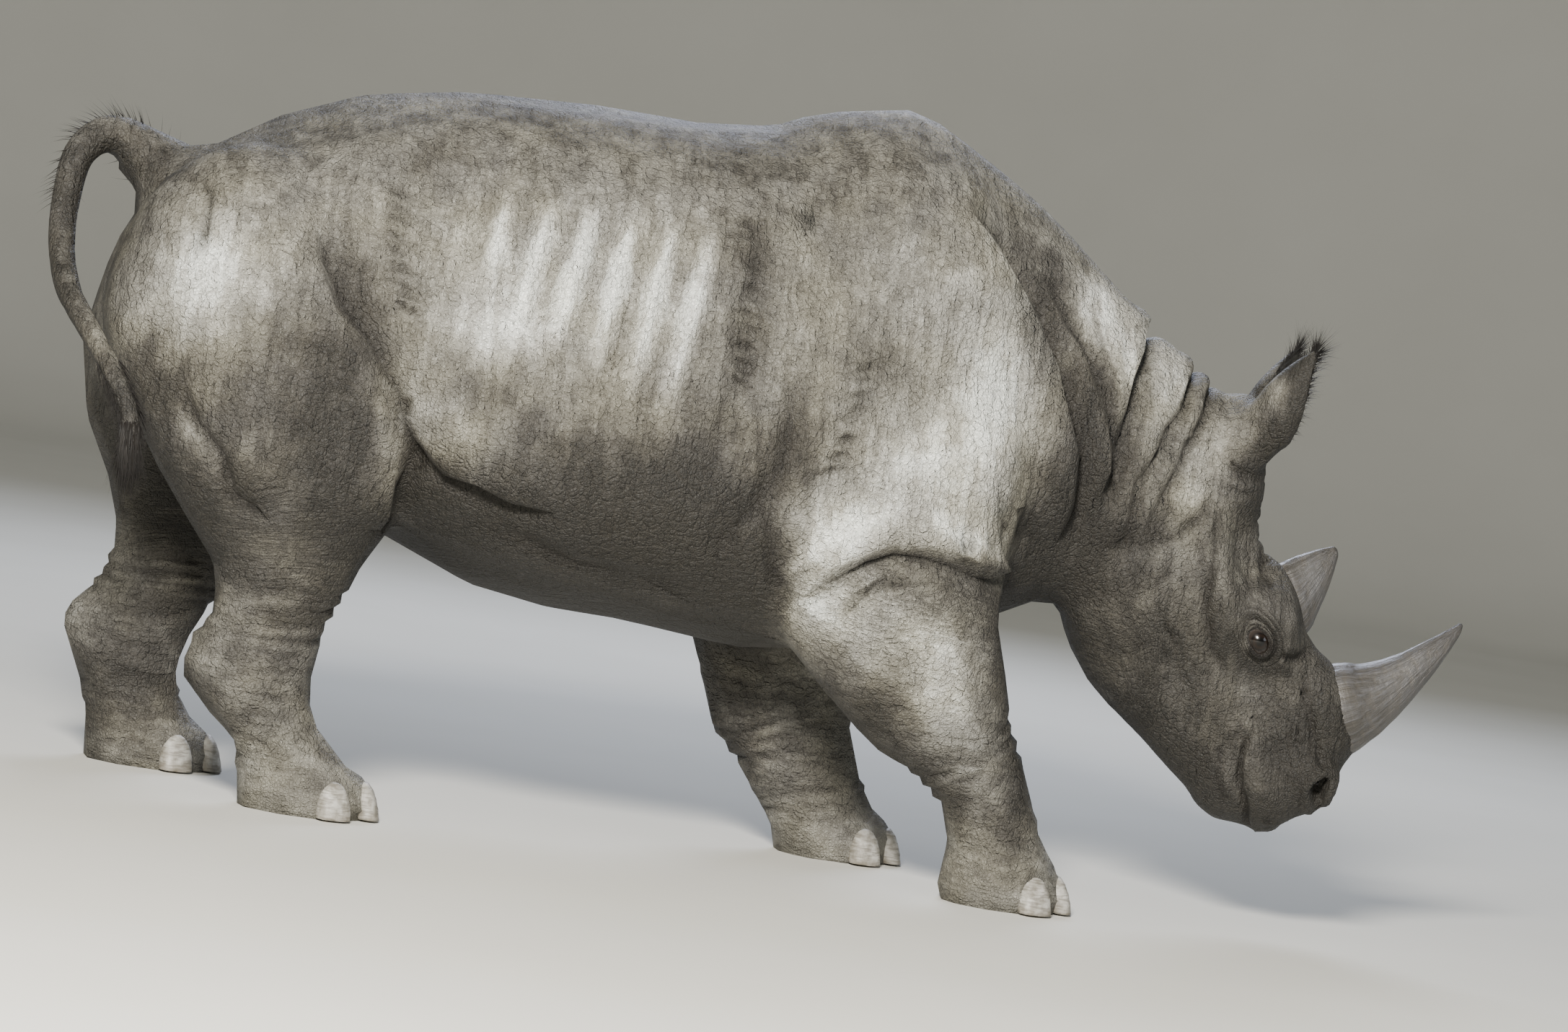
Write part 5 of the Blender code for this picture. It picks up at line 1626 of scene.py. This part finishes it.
lashes = {"count": 60, "length": 0.024, "radius": 0.00055}
for side, sign in sides.items():
    centre, out = Vector(eyes[side]["centre"]), Vector(eyes[side]["out"])
    turned = spin(-eye["tilt"], "Y").to_3x3()
    hairs = []
    for i in range(lashes["count"]):
        upper = i % 3 != 0
        angle = pi * rng.uniform(0.12, 0.88) * (1 if upper else -1)
        flat = Vector((cos(angle) * eye["halfLong"] * 1.15, 0, sin(angle) * eye["halfHigh"] * 1.2))
        aside = headMatrix.to_3x3() @ (turned @ flat)
        root = centre + (out * eye["radius"] * 0.86 + aside).normalized() * (eye["radius"] + eye["lid"] * 0.8)
        way = (out * 0.8 + aside.normalized() * 0.7 + scatter(0.12)).normalized()
        length = lashes["length"] * rng.uniform(0.7, 1.1) * (1 if upper else 0.6)
        hairs.append((root, way, length, lashes["radius"], aside.normalized() * 0.003))
    growHairs(side + "Lashes", hairs)


def tailAt(share):
    at = share * (len(tailLine) - 1)
    i = min(int(at), len(tailLine) - 2)
    row = tailLine[i] + (at - i) * (tailLine[i + 1] - tailLine[i])
    way = Vector(tailLine[i + 1][:3] - tailLine[i][:3]).normalized()
    return Vector(row[:3]), way, row[3]


rootHairs, brushHairs = [], []
for i in range(tail["rootBristles"]):
    point, way, radius = tailAt(rng.uniform(0.02, 0.42))
    outer = Vector((-0.5, 0, 0.6)) + scatter(0.25)
    outer = (outer - way * outer.dot(way)).normalized()
    heading = (outer * 0.8 + way * 0.7 + scatter(0.15)).normalized()
    rootHairs.append((
        point + outer * radius * 0.96, heading, rng.uniform(*tail["rootLength"]), tail["radius"] * 0.8,
        way * 0.006,
    ))
for i in range(tail["edgeBristles"]):
    point, way, radius = tailAt(1 - 0.24 * rng.random() ** 1.2)
    edge = Vector((rng.choice((-1, 1)), 0.25, 0)) + scatter(0.35)
    edge = (edge - way * edge.dot(way)).normalized()
    heading = (edge * 0.35 + way + scatter(0.1)).normalized()
    brushHairs.append((
        point + edge * radius * 0.95, heading, rng.uniform(*tail["edgeLength"]), tail["radius"],
        Vector((0, 0, -0.012)) - edge * 0.008,
    ))
tipPoint, tipWay, tipRadius = tailAt(1.0)
for i in range(tail["locks"] + tail["ends"]):
    lock = i < tail["locks"]
    edge = scatter(1)
    edge = (edge - tipWay * edge.dot(tipWay)).normalized()
    heading = (tipWay + edge * rng.uniform(0.02, 0.16) + scatter(0.03)).normalized()
    length = rng.uniform(*tail["lockLength" if lock else "endLength"])
    back = rng.uniform(0, 0.055)
    reach = rng.uniform(0.2, 0.9) if back < 0.012 else rng.uniform(0.9, 1.0) + 2.5 * back
    brushHairs.append((
        tipPoint - tipWay * back + edge * tipRadius * reach, heading, length,
        tail["lockRadius" if lock else "radius"], -edge * 0.009 + scatter(0.003),
    ))
growHairs("tailRootBristles", rootHairs)
growHairs("tailBrush", brushHairs, ["tail_tuft"])
print("hair grown")


# floor, camera and lights

studio = {"radius": 13.0, "curve": 4.5, "rise": 8.0, "steps": 12, "cloudScale": 1.2, "sky": "#dfe3e2",
          "skyStrength": 0.25}
bm = bmesh.new()
bmesh.ops.create_circle(bm, cap_ends=True, segments=96, radius=studio["radius"])
edges = [e for e in bm.edges if e.is_boundary]
for step in range(1, studio["steps"] + 1):
    made = bmesh.ops.extrude_edge_only(bm, edges=edges)["geom"]
    edges = [e for e in made if isinstance(e, bmesh.types.BMEdge)]
    angle = pi / 2 * step / studio["steps"]
    reach = studio["radius"] + studio["curve"] * sin(angle)
    for v in (item for item in made if isinstance(item, bmesh.types.BMVert)):
        direction = v.co.xy.normalized()
        v.co = (direction.x * reach, direction.y * reach, studio["rise"] * (1 - cos(angle)))
bmesh.ops.recalc_face_normals(bm, faces=bm.faces)
floorMesh = smoothShaded(meshFrom(bm, "floor"))
floorMesh.materials.append(makeFloor())
addObject("floor", floorMesh)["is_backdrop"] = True

view = {"azimuth": -8, "elevation": 2.5, "roll": 8.6, "target": (0.0685, 0, 0.676), "distance": 10.0,
        "lens": 117.2}
azimuth, elevation = radians(view["azimuth"]), radians(view["elevation"])
back = Vector((sin(azimuth) * cos(elevation), -cos(azimuth) * cos(elevation), sin(elevation)))
right = Vector((0, 0, 1)).cross(back).normalized()
turned = Matrix((right, back.cross(right), back)).transposed().to_4x4()
camera = addObject("camera", bpy.data.cameras.new("camera"))
camera.data.lens = view["lens"]
camera.data.sensor_width = 36
camera.matrix_world = (
    Matrix.Translation(Vector(view["target"]) + back * view["distance"]) @ turned
    @ spin(view["roll"], "Z")
)
bpy.context.scene.camera = camera

lamps = {
    "key": {"place": (-1.8, -7.0, 4.0), "size": 1.6, "power": 1620, "colour": "#fffaf2"},
    "fill": {"place": (6.0, -4.5, 2.4), "size": 3.0, "power": 80, "colour": "#e9f1ff"},
    "rim": {"place": (1.0, 6.0, 4.6), "size": 3.0, "power": 380, "colour": "#e2eaff"},
}
for name, lamp in lamps.items():
    light = addObject(name, bpy.data.lights.new(name, "AREA"))
    light.data.shape = "DISK"
    light.data.size = lamp["size"]
    light.data.energy = lamp["power"]
    light.data.color = toLinear(lamp["colour"])[:3]
    aim = Vector((0, 0, 0.7)) - Vector(lamp["place"])
    light.matrix_world = Matrix.Translation(lamp["place"]) @ aim.to_track_quat("-Z", "Y").to_matrix().to_4x4()
world = bpy.data.worlds.new("studioSky")
world.use_nodes = True
sky = world.node_tree.nodes["Background"].inputs
sky["Color"].default_value = toLinear(studio["sky"])
sky["Strength"].default_value = studio["skyStrength"]
bpy.context.scene.world = world
print("studio ready")

low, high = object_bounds()
